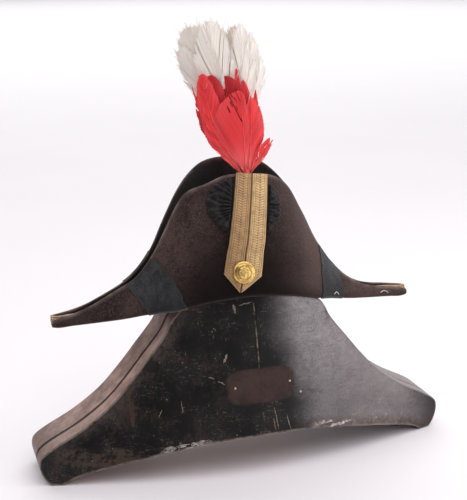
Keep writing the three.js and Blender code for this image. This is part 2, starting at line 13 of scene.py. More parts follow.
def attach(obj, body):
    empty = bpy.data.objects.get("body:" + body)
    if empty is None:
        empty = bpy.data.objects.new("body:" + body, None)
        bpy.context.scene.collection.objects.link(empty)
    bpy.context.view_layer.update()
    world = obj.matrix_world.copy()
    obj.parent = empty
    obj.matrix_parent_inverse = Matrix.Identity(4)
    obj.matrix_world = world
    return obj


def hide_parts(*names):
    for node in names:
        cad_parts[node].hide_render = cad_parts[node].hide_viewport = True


MM = 0.001
NO_MARKS = (0, 0, 0, 0)

# A way that no tube runs along, from which its rings start
TUBE_START = np.array((0.13, 0.92, 0.37))

# Sheet thicknesses and clearances
FELT = 2.6
LACE = 1.6
TIN = 1.2
GAP = 0.4

# The hat's place on the box
HAT_X = -5.0
HAT_Z = 194.4
HAT_ROLL = math.radians(1.1)
TOP_HEIGHT = 126.0
TOP_SAG = -5.0

# The folded brim in sections from its middle to a tip
BRIM_NAMES = ("along", "fold", "front", "rear", "reach", "gape")
BRIM_SECTIONS = (
    (0, -6, 130, 144, 57, 17),
    (32, -8, 128, 139.5, 55.5, 15.5),
    (48, -10, 122, 128.5, 53, 13),
    (60, -12.5, 111.5, 115.5, 49.5, 10.5),
    (70, -15, 95.5, 100.5, 46, 8),
    (82, -18, 71, 78.5, 41, 6),
    (97, -19.6, 43.5, 48, 34, 5.5),
    (115, -22.7, 19.5, 23, 26, 5.5),
    (135, -25.8, 4.5, 5, 19.5, 5.5),
    (160, -27.8, -8, -7.5, 14, 6),
    (190, -29.4, -16.5, -15, 9.8, 6.5),
    (204, -30.3, -19.5, -17.5, 8.4, 6.5),
    (210, -29.2, -21, -18.5, 8, 6.4),
)
BRIM_HALF = 210.0
FOLD_RADIUS = 3.6
FOLD_SHARE = 0.3
WALL_CURVE = 1.5
HORN_LIFT = 5.0
HORN_LIFT_PLACE = 145.0
HORN_LIFT_SPREAD = 30.0
FRONT_DIP = 6.5
FRONT_DIP_PLACE = -40.0
FRONT_DIP_SPREAD = 18.0
BRIM_COLUMNS = 180
WALL_ROWS = 40
FOLD_ROWS = 26
EDGE_STEPS = 6
WORN_EDGE = 2.0
BRIM_SHARP = 50
RIPPLE = 0.5
FELT_SOCKETS = {
    "Roughness": 0.95,
    "Specular IOR Level": 0.05,
    "Sheen Weight": 0.11,
    "Sheen Roughness": 0.5,
    "Sheen Tint": (1.0, 0.78, 0.72),
}

# The head opening and the crown that stands in it
HEAD_HALF_LENGTH = 116.0
HEAD_HALF_WIDTH = 49.0
CROWN_HEIGHT = 100.0
CROWN_TAPER = 1.35
CROWN_SIDES = 96
CROWN_ROWS = 28
CUTTER_SIDES = 128
CUTTER_HEIGHTS = (-45.0, 5.0)

# The ribbons across the horns: side, way along x, middle and half width at the fold, then at the top edge
RIBBONS = (
    ("left", -1, 89, 20, 114, 15),
    ("right", 1, 104, 16, 110, 12.5),
)
RIBBON_LOW_TURN = 0.2
RIBBON_UNDER = 0.35
RIBBON_TOP = 1.25
RIBBON_ROWS = 60
RIBBON_COLUMNS = 30
CORD_PITCH = 0.95

# The gold lace loop
LACE_TOP_ALONG = 13.7
LACE_TOP_UP = 129.3
LACE_POINT_ALONG = -15.2
LACE_POINT_UP = 9.0
LACE_HALF_TOP = 18.0
LACE_HALF_FOOT = 20.8
LACE_TILT = 0.1
LACE_SLIT = 0.7 / 18
LACE_WEB = 0.4
LACE_MITRE = 19.0
LACE_SLANT = (LACE_TOP_ALONG - LACE_POINT_ALONG) / (LACE_TOP_UP - LACE_POINT_UP)
LACE_LENGTH = LACE_TOP_UP - LACE_POINT_UP
LACE_ROWS = 300
RUN_COLUMNS = 30

# The lace's weave: a field of chevrons and a border of twill on each run, turned along the mitred point
LACE_FIELD = 0.56
LACE_BORDER = 0.8
CHEVRON_PITCH = 2.5
TWILL_PITCH = 1.5
MITRE_SLOPE = 0.72
MITRE_HALF = 8.5
MITRE_EDGE = 3.6
MITRE_LENGTH = 22.0

# The gathered cockade under the lace
COCKADE_ALONG = 0.5
COCKADE_UP = 97.0
COCKADE_RADIUS = 41.0
COCKADE_FLATTEN = 0.77
COCKADE_LIFT = 1.0
COCKADE_PRESSED = 2.0
COCKADE_BOTTOM = COCKADE_UP - COCKADE_RADIUS * COCKADE_FLATTEN
GATHERS = 34
SILK_COLUMNS = 720
SILK_ROWS = 60
SILK_MIDDLE = 0.06
SILK_SKIRT = (0.55, 0.05)
SILK_TUCK = 0.985

# The button near the lace's point, with a skirt given by shares of its radius and by heights
BUTTON_UP = 31.0
BUTTON_RADIUS = 12.0
BUTTON_HEIGHT = 6.0
BUTTON_RIM = 0.9
BUTTON_RINGS = 60
BUTTON_SIDES = 160
BUTTON_SKIRT = ((1.0, 0.9), (1.0, 0.5), (0.92, 0.0), (0.0, 0.0))

# The plume: its foot, neck and heart in the hat's frame, and how its feathers spread and turn
PLUME_FOOT = np.array((12.0, -21.0, 95.0))
PLUME_NECK = np.array((11.0, -8.0, 135.0))
PLUME_HEART = np.array((3.0, -2.0, 198.0))
STEM_RADIUS = 3.4
CORE_RADIUS = 1.5
ROOT_SPREAD = 0.17
ROOT_HALF = 7.0
FAN_TURN = 0.4
FAN_REACH = 40.0

# Quills, barbs, and wisps given by shares of their reach and of their half width
QUILL_STEPS = 14
QUILL_RADII = (0.55, 0.1)
BARB_STEPS = 8
BARB_SPACING = 0.62
FEWEST_BARBS = 40
MOST_BARBS = 190
WISP_STEPS = ((-0.5, 1.0), (0.35, 0.8), (0.7, 0.5), (1.0, 0.12))
WISP_FACING = np.array((0.2, 1.0, 0.1))
FEATHER_SOCKETS = {
    "Roughness": 0.6,
    "Specular IOR Level": 0.3,
    "Sheen Weight": 0.25,
    "Sheen Roughness": 0.4,
}

# Slits in the front feather, from one end to the other in x and z
NICK_HALF = 0.7
NICKS = (
    (-11.7, 219.8, -0.9, 209.9),
    (-6.9, 206.4, -1.1, 203.0),
    (-10.5, 201.3, -6.7, 197.1),
)

# Each feather: its tip in the hat's frame, its bow, width, bluntness, skew and shade, which is painted
# shade on feathers that lie behind others or in their shadow
Feather = namedtuple("Feather", "tip_x tip_y tip_z bow width blunt skew shade")
RED_SEED = 31
RED_DOWN = 0.0
RED_FEATHERS = (
    (-31, 12, 224, -11, 26, 0.7, 0, 0.5),
    (-7, 14, 233, -3, 30, 0.8, 0, 0.5),
    (17, 14, 226, 3, 28, 0.7, 0, 0.5),
    (30, 12, 204, 6, 20, 0.5, 0, 0.5),
    (-25, -7, 236, -12, 30, 0.9, 0, 0.6),
    (-9, -8, 235, -4, 38, 0.9, 0, 0.8),
    (2, -10, 243, 1, 9, 0.7, 0, 0.4),
    (-47, -8, 227, -16, 4, 0.1, 0, 0.3),
    (20, -11, 180, 6, 15, 0.5, 0, 0.1),
    (-21, -10, 172, -5, 13, 0.5, 0, 0.05),
    (-33, -11, 206, -11, 22, 0.6, 0, 0),
    (-37, -12, 238, -15, 25, 0.85, 0.15, 0.12),
    (9, -11, 231, 4, 24, 0.3, 0, 0.3),
    (23, -10, 220, 5, 14, 0.2, 0, 0.25),
    (26, -12, 203, 5, 19, 0.3, 0, 0.05),
    (42, -10, 165, 1, 11, 0.3, 0, 0.15),
    (16, -15, 213, 4, 26, 0.5, 0.2, 0.1),
    (3, -18, 220, 1, 38, 0.95, -0.6, 0.25),
    (38, -12, 168, -1, 14, 0.4, 0, 0),
)
NICKED = 17
WHITE_SEED = 47
WHITE_DOWN = 0.6
WHITE_FEATHERS = (
    (-38, 8, 284, -6, 36, 0.9, 0, 0.35),
    (-16, 9, 286, -4, 34, 0.9, 0, 0.35),
    (6, 8, 284, 2, 28, 0.8, 0, 0.7),
    (-3, 3, 276, -1, 34, 0.8, 0, 0.8),
    (-52, 2, 264, -11, 28, 0.7, 0, 0.1),
    (33, 1, 252, 11, 20, 0.4, 0, 0),
    (24, 0, 272, 8, 26, 0.7, 0, 0),
    (-46, -1, 285, -12, 40, 0.9, 0, 0.25),
    (-33, -4, 270, -11, 18, 0.6, 0, 0.9),
    (21, -3, 279, 9, 18, 0.6, 0, 0.05),
    (10, -5, 287, 4, 24, 0.8, 0, 0),
    (-26, -9, 291, -9, 38, 1.0, 0, 0.1),
)

# Each plume's colours: deep, body, pale, quill and down
RED_TONES = (
    (0.42, 0.012, 0.02),
    (0.95, 0.046, 0.052),
    (1.0, 0.13, 0.14),
    (0.97, 0.13, 0.12),
    (1.0, 0.24, 0.24),
)
WHITE_TONES = (
    (0.6, 0.485, 0.38),
    (1.0, 0.945, 0.87),
    (1.0, 0.98, 0.93),
    (0.93, 0.87, 0.81),
    (1.0, 0.97, 0.93),
)

# The bullion tassels in the horns' tips, and each strand's place across and above the fold
TASSEL_START = 168.0
TASSEL_END = 211.0
TASSEL_HEAD_RADIUS = 4.2
STRANDS = (
    (-1.9, 3.4),
    (0, 3),
    (1.9, 3.4),
    (-1.5, 5.9),
    (1.6, 6),
    (0.1, 8.2),
)
STRAND_RADIUS = 1.7
STRAND_ROWS = 150
STRAND_SIDES = 14
STRAND_PITCH = 2.6
STRAND_RIDGE = 0.13

# Two ends of thread on the right horn: middle along it, half length, turn round the brim, bow and lift
THREADS = (
    (109.5, 3.4, -0.3, 0.045, 2.1),
    (179.0, 5.2, -0.4, 0.16, 0.75),
)
THREAD_RADIUS = 0.42
THREAD_ROWS = 24

# The tin box in sections from its middle to a lobe's end
BOX_NAMES = ("along", "top", "bottom")
BOX_SECTIONS = (
    (0, 214, 42),
    (30, 212, 41.6),
    (56, 203, 39.8),
    (72, 189.6, 37.8),
    (83, 178, 36.2),
    (89, 171.5, 35),
    (98, 155, 33.2),
    (118, 130, 29.5),
    (139, 104.5, 25),
    (161, 81.5, 20),
    (189, 61, 13),
    (206, 51.6, 6.5),
    (214, 47.6, 1.6),
    (218, 45.6, 0),
    (228, 40, 0),
    (234, 36, 5.5),
    (238.5, 31, 14.5),
    (240, 24, 24),
)
BOX_HALF = 240.0
RIM_DEPTH_MIDDLE = 28.0
RIM_DEPTH_END = 30.5
PANEL_BULGE = 48.0
PANEL_FALL = 1.6
PARTING_Y = -10.0
EDGE_ROUND = 1.1
ROUND_STEPS = 6
REAR_LIP = 0.9
STRIP_SHARES = (0, 0.03, 0.085, 0.1, 0.25, 0.5, 0.75, 1)
STRIP_RINGS = len(STRIP_SHARES)
PARTING_RINGS = 3
END_STEPS = 16
LOOP_STEPS = 5
PANEL_ROWS = 44
SOFT_REACH = 60
SOFT_SPREAD = 28.0
SEAM_X = 2.3
SEAM_STEP = 0.55
SEAM_FADE = 90.0

# A mark for points that are far from any worn edge
FAR_OFF = 200.0

# The rubbed part of the tin's front starts at a slanted line through this place, set where the key lamp's
# reflection begins: a painted edge to the sheen
RUB_TOP = (22.0, 190.0)
RUB_SLANT = 0.21

# Marks on the tin's front: the patch where a plate was, its nails, and each scratch's two ends and width
PATCH_MIDDLE = (3.5, 95.7)
PATCH_HALF = (39.5, 18.4)
PATCH_SQUARE = 4.5
NAILS = ((-27.4, 95.8), (36.8, 95.9), (49.0, 82.2))
NAIL_RADIUS = 1.3
NAIL_RISE = 0.8
SCRATCHES = (
    (-21.5, 185, -19.5, 174.5, 2.6),
    (-15.5, 183, 1, 185, 1.1),
    (-38, 123.5, -33, 133, 2.4),
    (28, 170, 34, 169.6, 0.9),
    (15.6, 71, 18.6, 46, 0.9),
    (13.2, 60, 15, 45, 0.7),
    (30, 60, 33, 44, 0.9),
    (-46, 105, -38, 101, 1.2),
    (-56, 110, -49, 108, 1.0),
    (-87, 87, -86, 74, 0.8),
    (-112, 70, -108, 78, 0.7),
)

# The room's floor in metres and its light
FLOOR_REACH = 14.0
ROOM_LIGHT = 0.22
ROOM_DIM = 0.07
ROOM_COLOUR = (1.0, 0.985, 1.0)

# Lamps: name, azimuth and elevation in degrees, distance, width and height in metres, glow, colour, aim
LIGHTS = (
    ("key", 58, 13, 1.7, 1.96, 0.85, 2.3, (1.0, 0.97, 0.98), (0, 0, 0.12)),
    ("right", 80, 48, 1.6, 1.0, 1.0, 2.2, (1.0, 0.97, 0.98), (0, 0, 0.25)),
    ("left", 275, 38, 1.6, 1.0, 1.3, 1.5, (1.0, 0.97, 0.97), (0, 0, 0.25)),
    ("overhead", 6, 63, 2.3, 2.8, 2.8, 1.75, (1.0, 0.98, 1.0), (0, 0.1, 0.25)),
    ("far", 0, 90, 4.0, 16.0, 14.0, 1.45, (1.0, 1.0, 1.0), (2.0, 7.9, 0)),
)

# The camera, fitted to the photograph: its place in metres, its yaw, pitch and roll, and its focal length
CAMERA_PLACE = (-0.3663, -1.0714, 0.5511)
CAMERA_TURNS = (18.463, 15.6, -0.308)
FOCAL_PIXELS = 1050.8
PICTURE_PIXELS = 500
SENSOR = 36.0
FARTHEST_SEEN = 100.0


# Curves through tables of sections, level at their start and straight at their end
def curve_through(table, names, column):
    places = np.array([row[0] for row in table], float)
    values = np.array([row[names.index(column)] for row in table], float)
    earlier = np.concatenate([[2 * places[0] - places[1]], places[:-2]])
    earlier_value = np.concatenate([[values[1]], values[:-2]])
    later = np.concatenate([places[2:], [places[-2]]])
    later_value = np.concatenate([values[2:], [values[-2]]])

    def value(along):
        at = np.clip(np.abs(along), places[0], places[-1])
        k = np.clip(np.searchsorted(places, at, side="right") - 1, 0, len(places) - 2)
        span = places[k + 1] - places[k]
        p = (at - places[k]) / span
        before = span / 2 / (places[k] - earlier[k])
        after = span / 2 / (later[k] - places[k + 1])
        first = -before * p**3 + 2 * before * p**2 - before * p
        second = (1 + before) * p**3 + (-1.5 - 2 * before) * p**2 + (-0.5 + before) * p + 1
        third = (-1 - after) * p**3 + (1.5 + after) * p**2 + 0.5 * p
        fourth = after * p**3 - after * p**2
        near = second * values[k] + third * values[k + 1]
        return first * earlier_value[k] + near + fourth * later_value[k]

    return value


BRIM = {name: curve_through(BRIM_SECTIONS, BRIM_NAMES, name) for name in BRIM_NAMES[1:]}
Section = namedtuple("Section", "fold reach corner top gape")
Outline = namedtuple("Outline", "line out over")


def mix(a, b, share):
    return a + (b - a) * share


def smooth(value, low, high):
    """0 below low, 1 above high, and a soft rise between them."""
    share = np.clip((value - low) / (high - low), 0, 1)
    return share * share * (3 - 2 * share)


def hump(offset, spread):
    """1 in the middle, falling off on both sides like a bell."""
    return np.exp(-((offset / spread) ** 2))


def half_round(share):
    """A half round from -1 to 1 with its top at 0, and nothing outside it."""
    return np.sqrt(np.clip(1 - share**2, 0, 1))


def hills(x, y, seed):
    """Soft random hills from -1 to 1, about one unit across, the same ones each time."""
    size = 64
    table = np.random.default_rng(seed).uniform(-1, 1, (size, size))
    x, y = np.broadcast_arrays(np.asarray(x, float), np.asarray(y, float))
    column = np.floor(x).astype(int)
    row = np.floor(y).astype(int)
    across = smooth(x - column, 0, 1)
    upward = smooth(y - row, 0, 1)
    low = mix(table[column % size, row % size], table[(column + 1) % size, row % size], across)
    high = mix(table[column % size, (row + 1) % size], table[(column + 1) % size, (row + 1) % size], across)
    return mix(low, high, upward)


def lengths(vectors):
    return np.linalg.norm(vectors, axis=-1, keepdims=True)


def unit(vectors):
    return vectors / lengths(vectors)


def walk(path):
    """How far along a path each of its points lies."""
    return np.concatenate([[0], np.cumsum(np.linalg.norm(np.diff(path, axis=0), axis=1))])


def full_turn(steps):
    """Angles once round, down a column."""
    return np.linspace(0, 2 * math.pi, steps, endpoint=False)[:, None]


def together(*values):
    """Values side by side along a new last axis: a point's coordinates or its marks."""
    return np.stack(np.broadcast_arrays(*[np.asarray(value, float) for value in values]), axis=-1)


# The hat's own frame
def hat_place(points):
    x = points[..., 0] + TOP_SAG * points[..., 2] / TOP_HEIGHT
    z = points[..., 2]
    turned_x = x * math.cos(HAT_ROLL) + z * math.sin(HAT_ROLL)
    turned_z = z * math.cos(HAT_ROLL) - x * math.sin(HAT_ROLL)
    return np.stack([turned_x + HAT_X, points[..., 1], turned_z + HAT_Z], axis=-1)


def brim_size(along, side):
    fold = BRIM["fold"](along)
    reach = BRIM["reach"](along)
    corner = fold + np.sqrt(FOLD_RADIUS * reach)
    lift = -np.sign(along) * HORN_LIFT * hump(np.abs(along) - HORN_LIFT_PLACE, HORN_LIFT_SPREAD)
    dip = FRONT_DIP * hump(along - FRONT_DIP_PLACE, FRONT_DIP_SPREAD)
    edge = np.where(side < 0, BRIM["front"](along) - dip, BRIM["rear"](along))
    return Section(fold, reach, corner, edge + lift, BRIM["gape"](along))


def leaf_ripple(along, climb, side):
    """Shallow waves in the old felt, dying out at the fold and the tips."""
    broad = hills(along / 38 + 7 * side, 2.4 * climb, seed=3)
    narrow = hills(along / 15, 5 * climb + 3 * side, seed=4)
    return RIPPLE * (broad + 0.4 * narrow) * smooth(climb, 0, 0.3) * (1 - (along / BRIM_HALF) ** 2)


def wall_point(along, side, climb, lift):
    size = brim_size(along, side)
    climbed = np.maximum(climb, 0)
    lean = size.reach - size.gape
    height = size.top - size.corner
    slope = lean * WALL_CURVE * climbed ** (WALL_CURVE - 1)
    steep = np.hypot(height, slope)
    off = lift + leaf_ripple(along, climbed, side)
    out = size.reach - lean * climbed**WALL_CURVE + off * height / steep
    up = size.corner + height * climb + off * slope / steep
    return together(along, side * out, up)


def fold_point(along, side, share, lift):
    size = brim_size(along, side)
    angle = share / FOLD_SHARE * math.pi / 2
    rise = size.corner - size.fold
    normal_out = np.sin(angle) / size.reach
    normal_up = -np.cos(angle) / rise
    steep = np.hypot(normal_out, normal_up)
    out = size.reach * np.sin(angle) + lift * normal_out / steep
    up = size.fold + rise * (1 - np.cos(angle)) + lift * normal_up / steep
    return together(along, side * out, up)


def brim_point(along, turn, lift):
    along, turn, lift = np.broadcast_arrays(np.asarray(along, float), turn, lift)
    side = np.where(turn < 0, -1.0, 1.0)
    share = np.abs(turn)
    low = fold_point(along, side, np.minimum(share, FOLD_SHARE), lift)
    high = wall_point(along, side, np.maximum(share - FOLD_SHARE, 0) / (1 - FOLD_SHARE), lift)
    return np.where((share <= FOLD_SHARE)[..., None], low, high)


def front_point(along, up, lift):
    along, up, lift = np.broadcast_arrays(np.asarray(along, float), up, lift)
    side = np.full_like(along, -1.0)
    size = brim_size(along, side)
    return wall_point(along, side, (up - size.corner) / (size.top - size.corner), lift)


# Meshes from grids of points
class Shape:
    """Points, faces and four shading marks for each point, gathered into one mesh."""

    def __init__(self):
        self.points = []
        self.marks = []
        self.faces = []
        self.count = 0

    def add(self, points, faces, marks=NO_MARKS):
        points = np.asarray(points, float).reshape(-1, 3)
        marks = np.broadcast_to(np.asarray(marks, float).reshape(-1, 4), (len(points), 4))
        self.points.append(points)
        self.marks.append(marks)
        self.faces.extend((np.asarray(faces) + self.count).tolist())
        self.count += len(points)

    def add_grid(self, grid, marks=NO_MARKS, wrap_columns=False, wrap_rows=False):
        """A skin over grid[column, row], closed round its columns or its rows if asked."""
        columns, rows = grid.shape[:2]
        faces = grid_faces(columns, rows, wrap_columns, wrap_rows)
        self.add(grid, faces, spread_marks(marks, columns, rows))

    def add_slab(self, upper, lower, marks=NO_MARKS, under_marks=None):
        """A closed slab between two grids of the same size."""
        columns, rows = upper.shape[:2]
        under_marks = marks if under_marks is None else under_marks
        both = np.concatenate([upper, lower[:, ::-1]], axis=1)
        upper_marks = spread_marks(marks, columns, rows).reshape(columns, rows, 4)
        lower_marks = spread_marks(under_marks, columns, rows).reshape(columns, rows, 4)
        both_marks = np.concatenate([upper_marks, lower_marks[:, ::-1]], axis=1)
        first = self.count
        self.add_grid(both, both_marks, wrap_rows=True)
        for column in (0, columns - 1):
            start = first + column * 2 * rows
            end = start + 2 * rows - 1
            for row in range(rows - 1):
                self.faces.append([start + row, start + row + 1, end - row - 1, end - row])

    def add_tube(self, path, radius, sides, marks=NO_MARKS, **twist):
        """A round skin along a path in the hat's frame."""
        self.add_grid(hat_place(tube(path, radius, sides, **twist)), marks, wrap_rows=True)

    def piece(self, name, material, node=None, slot=None, sharp=40, ease=True):
        """The finished object, riding on the hat and box, in place of a solid if one is named."""
        mesh = bpy.data.meshes.new(name)
        mesh.from_pydata((np.concatenate(self.points) * MM).tolist(), [], self.faces)
        layer = mesh.attributes.new("marks", "FLOAT_COLOR", "POINT")
        layer.data.foreach_set("color", np.concatenate(self.marks).astype(np.float32).ravel())
        if ease:
            clean(mesh)
        mesh.shade_smooth()
        mesh.set_sharp_from_angle(angle=math.radians(sharp))
        mesh.materials.append(material)
        made = stand(name, mesh)
        settle(made, node)
        return made


def settle(made, node):
    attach(made, "root")
    if node:
        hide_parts(node)


def stand(name, data):
    """A new object in the scene."""
    made = bpy.data.objects.new(name, data)
    bpy.context.scene.collection.objects.link(made)
    return made


def clean(mesh):
    """Merges points that lie together and turns the faces outward."""
    work = bmesh.new()
    work.from_mesh(mesh)
    bmesh.ops.remove_doubles(work, verts=work.verts, dist=1e-7)
    bmesh.ops.dissolve_degenerate(work, edges=work.edges, dist=1e-8)
    bmesh.ops.recalc_face_normals(work, faces=work.faces)
    work.to_mesh(mesh)
    work.free()


def grid_faces(columns, rows, wrap_columns=False, wrap_rows=False):
    i = np.arange(columns if wrap_columns else columns - 1)[:, None]
    j = np.arange(rows if wrap_rows else rows - 1)[None, :]
    right = (i + 1) % columns
    above = (j + 1) % rows
    corners = [i * rows + j, right * rows + j, right * rows + above, i * rows + above]
    return np.stack(np.broadcast_arrays(*corners), axis=-1).reshape(-1, 4)


def spread_marks(marks, columns, rows):
    marks = np.asarray(marks, float)
    if marks.ndim == 1:
        marks = marks[None, None]
    return np.broadcast_to(marks, (columns, rows, 4)).reshape(-1, 4)


def tube(path, radius, sides, lobes=0, pitch=10.0, ridge=0.0):
    """Rings of points round a path, with twisted ridges if lobes are asked for."""
    path = np.asarray(path, float)
    run = unit(np.gradient(path, axis=0))
    side = unit(np.cross(run, TUBE_START))
    over = np.cross(run, side)
    angle = full_turn(sides).T
    twist = np.cos(lobes * angle - 2 * math.pi * walk(path)[:, None] / pitch)
    size = np.asarray(radius, float).reshape(-1, 1) * (1 + ridge * twist)
    ring = np.cos(angle)[..., None] * side[:, None] + np.sin(angle)[..., None] * over[:, None]
    return path[:, None] + size[..., None] * ring


# Materials
class Nodes:
    """A node tree whose nodes are added one by one."""

    def __init__(self, tree):
        self.tree = tree

    def node(self, kind, inputs=(), **settings):
        made = self.tree.nodes.new(kind)
        for name, value in settings.items():
            setattr(made, name, value)
        for socket, value in dict(inputs).items():
            self.put(made.inputs[socket], value)
        return made

    def put(self, socket, value):
        if isinstance(value, bpy.types.NodeSocket):
            self.tree.links.new(value, socket)
        elif isinstance(value, tuple) and len(value) == 3 and socket.type == "RGBA":
            socket.default_value = (*value, 1)
        else:
            socket.default_value = value

    def math(self, operation, a, b=0.0):
        return self.node("ShaderNodeMath", {0: a, 1: b}, operation=operation).outputs[0]

    def plus(self, a, b):
        return self.math("ADD", a, b)

    def minus(self, a, b):
        return self.math("SUBTRACT", a, b)

    def times(self, a, b):
        return self.math("MULTIPLY", a, b)

    def between(self, share, a, b):
        return self.plus(a, self.times(share, self.minus(b, a)))

    def span(self, value, low, high, to_low=0.0, to_high=1.0):
        inputs = {"Value": value, "From Min": low, "From Max": high, "To Min": to_low, "To Max": to_high}
        return self.node("ShaderNodeMapRange", inputs, interpolation_type="SMOOTHSTEP").outputs["Result"]

    def bell(self, value, middle, spread):
        """1 at the middle, falling softly to 0 at the spread."""
        return self.span(self.math("ABSOLUTE", self.minus(value, middle)), 0.0, spread, 1, 0)


class Finish(Nodes):
    """A material on one shader, with the sockets that are the same all over."""

    def __init__(self, name, sockets):
        self.material = bpy.data.materials.new(name)
        self.material.use_nodes = True
        super().__init__(self.material.node_tree)
        self.skin = self.tree.nodes["Principled BSDF"]
        self.place = self.node("ShaderNodeTexCoord").outputs["Object"]
        for socket, value in sockets.items():
            self.put(self.skin.inputs[socket], value)

    def paint(self, **sockets):
        names = {"colour": "Base Color", "rough": "Roughness", "metal": "Metallic", "normal": "Normal"}
        for name, value in sockets.items():
            self.put(self.skin.inputs[names[name]], value)

    def marks(self):
        found = self.node("ShaderNodeAttribute", attribute_name="marks")
        parts = self.node("ShaderNodeSeparateColor", {"Color": found.outputs["Color"]})
        return (*[parts.outputs[name] for name in ("Red", "Green", "Blue")], found.outputs["Alpha"])

    def xyz(self):
        parts = self.node("ShaderNodeSeparateXYZ", {"Vector": self.place})
        return [parts.outputs[name] for name in "XYZ"]

    def stretched(self, x, y, z):
        return self.node("ShaderNodeMapping", {"Vector": self.place, "Scale": (x, y, z)}).outputs["Vector"]

    def noise(self, scale, detail=3.0, rough=0.55, place=None):
        inputs = {"Vector": place or self.place, "Scale": scale, "Detail": detail, "Roughness": rough}
        return self.node("ShaderNodeTexNoise", inputs).outputs["Fac"]

    def cells(self, scale):
        return self.node("ShaderNodeTexVoronoi", {"Vector": self.place, "Scale": scale}).outputs["Distance"]

    def blend(self, share, a, b):
        """Colour a where share is 0 and colour b where it is 1."""
        inputs = {0: share, 6: a, 7: b}
        return self.node("ShaderNodeMix", inputs, data_type="RGBA").outputs[2]

    def bump(self, height, distance, strength=1.0):
        inputs = {"Height": height, "Distance": distance, "Strength": strength}
        return self.node("ShaderNodeBump", inputs).outputs["Normal"]


def felt_finish():
    f = Finish("worn felt", FELT_SOCKETS)
    edge, inner, climb, _ = f.marks()
    patches = f.noise(16, 4, 0.6)
    nap = f.noise(620, 3, 0.7)
    worn = f.noise(55, 5, 0.65)
    streaks = f.noise(1, 3, 0.6, f.stretched(260, 260, 40))
    brown = f.blend(f.span(patches, 0.35, 0.7), (0.026, 0.0165, 0.0149), (0.075, 0.048, 0.043))
    brown = f.blend(f.span(streaks, 0.5, 0.85, 0, 0.35), brown, (0.06, 0.044, 0.041))
    brown = f.blend(f.span(nap, 0.45, 0.68, 0, 0.62), brown, (0.12, 0.088, 0.08))
    brown = f.blend(f.span(f.noise(230, 4, 0.7), 0.48, 0.66, 0, 0.5), brown, (0.014, 0.0092, 0.0085))
    brown = f.blend(f.span(worn, 0.6, 0.76, 0, 0.4), brown, (0.075, 0.052, 0.044))
    black = f.blend(f.span(nap, 0.5, 0.85), (0.055, 0.0535, 0.055), (0.12, 0.115, 0.115))
    x = f.xyz()[0]
    # Lighter on the front leaf's right: painted light on that side of the leaf.
    brown = f.blend(f.times(f.bell(x, 0.075, 0.07), 0.45), brown, (0.105, 0.075, 0.069))
    # Near black low in the leaf's middle, which faces the dim front: painted shade.
    painted_shade_low_middle = f.times(f.bell(x, -0.012, 0.1), f.span(climb, 0.2, 0.85, 0.98, 0))
    brown = f.blend(painted_shade_low_middle, brown, (0.0045, 0.0032, 0.003))
    # A darker band low in the middle of the leaf: more painted shade.
    foot = f.times(f.bell(x, -0.035, 0.13), f.span(climb, 0.12, 0.5, 0.85, 0))
    brown = f.blend(foot, brown, (0.009, 0.0066, 0.0062))
    # Near black along the fold at the bottom: painted shade under the hat.
    under = f.times(f.bell(x, 0.0, 0.16), f.span(climb, -0.05, 0.16, 0.9, 0))
    brown = f.blend(under, brown, (0.006, 0.005, 0.005))
    brown = f.blend(f.span(x, -0.19, -0.12, 0.4, 0), brown, (0.016, 0.0135, 0.0135))
    body = f.blend(inner, brown, black)
    rim = f.blend(f.span(worn, 0.3, 0.7), (0.085, 0.064, 0.06), (0.22, 0.165, 0.15))
    body = f.blend(f.times(edge, f.span(worn, 0.25, 0.6, 0.35, 0.9)), body, rim)
    fuzz = f.plus(nap, f.times(f.noise(2600, 2, 0.7), 0.6))
    f.paint(colour=body, normal=f.bump(fuzz, 0.0006, 0.55))
    return f.material


def ribbon_finish():
    f = Finish("corded ribbon", {"Specular IOR Level": 0.3, "Sheen Weight": 0.3, "Sheen Roughness": 0.35})
    _, along, edge, _ = f.marks()
    cords = f.math("SINE", f.times(along, 2 * math.pi / CORD_PITCH))
    watered = f.noise(85, 6, 0.75, f.stretched(1, 1, 0.6))
    dust = f.noise(420, 4, 0.7)
    tone = f.blend(f.span(watered, 0.42, 0.6), (0.004, 0.0042, 0.005), (0.036, 0.0365, 0.0405))
    tone = f.blend(f.span(cords, -1, 1, 0, 0.3), tone, (0.036, 0.037, 0.041))
    tone = f.blend(f.span(dust, 0.54, 0.7, 0, 0.6), tone, (0.085, 0.08, 0.08))
    tone = f.blend(f.span(along, 0, 42, 0.55, 0), tone, (0.004, 0.0042, 0.005))
    tone = f.blend(f.times(edge, f.span(watered, 0.42, 0.6, 0.9, 0.2)), tone, (0.04, 0.028, 0.025))
    f.paint(colour=tone, rough=f.span(watered, 0.3, 0.7, 0.5, 0.75), normal=f.bump(cords, 0.0002, 0.5))
    return f.material


def silk_finish():
    f = Finish("gathered silk", {"Specular IOR Level": 0.28, "Sheen Weight": 0.08, "Sheen Roughness": 0.3})
    ridge = f.marks()[0]
    weave = f.noise(2200, 2, 0.5)
    crinkle = f.noise(260, 4, 0.6)
    # Lighter on the gathers' crests and darker in their hollows: painted highlight and shade.
    tone = f.blend(f.span(ridge, 0.2, 1), (0.0034, 0.0029, 0.0028), (0.0115, 0.0098, 0.0094))
    tone = f.blend(f.span(crinkle, 0.55, 0.75, 0, 0.6), tone, (0.027, 0.0232, 0.0224))
    height = f.plus(crinkle, f.times(weave, 0.2))
    f.paint(colour=tone, rough=f.span(crinkle, 0.3, 0.7, 0.5, 0.7), normal=f.bump(height, 0.0009, 0.55))
    return f.material


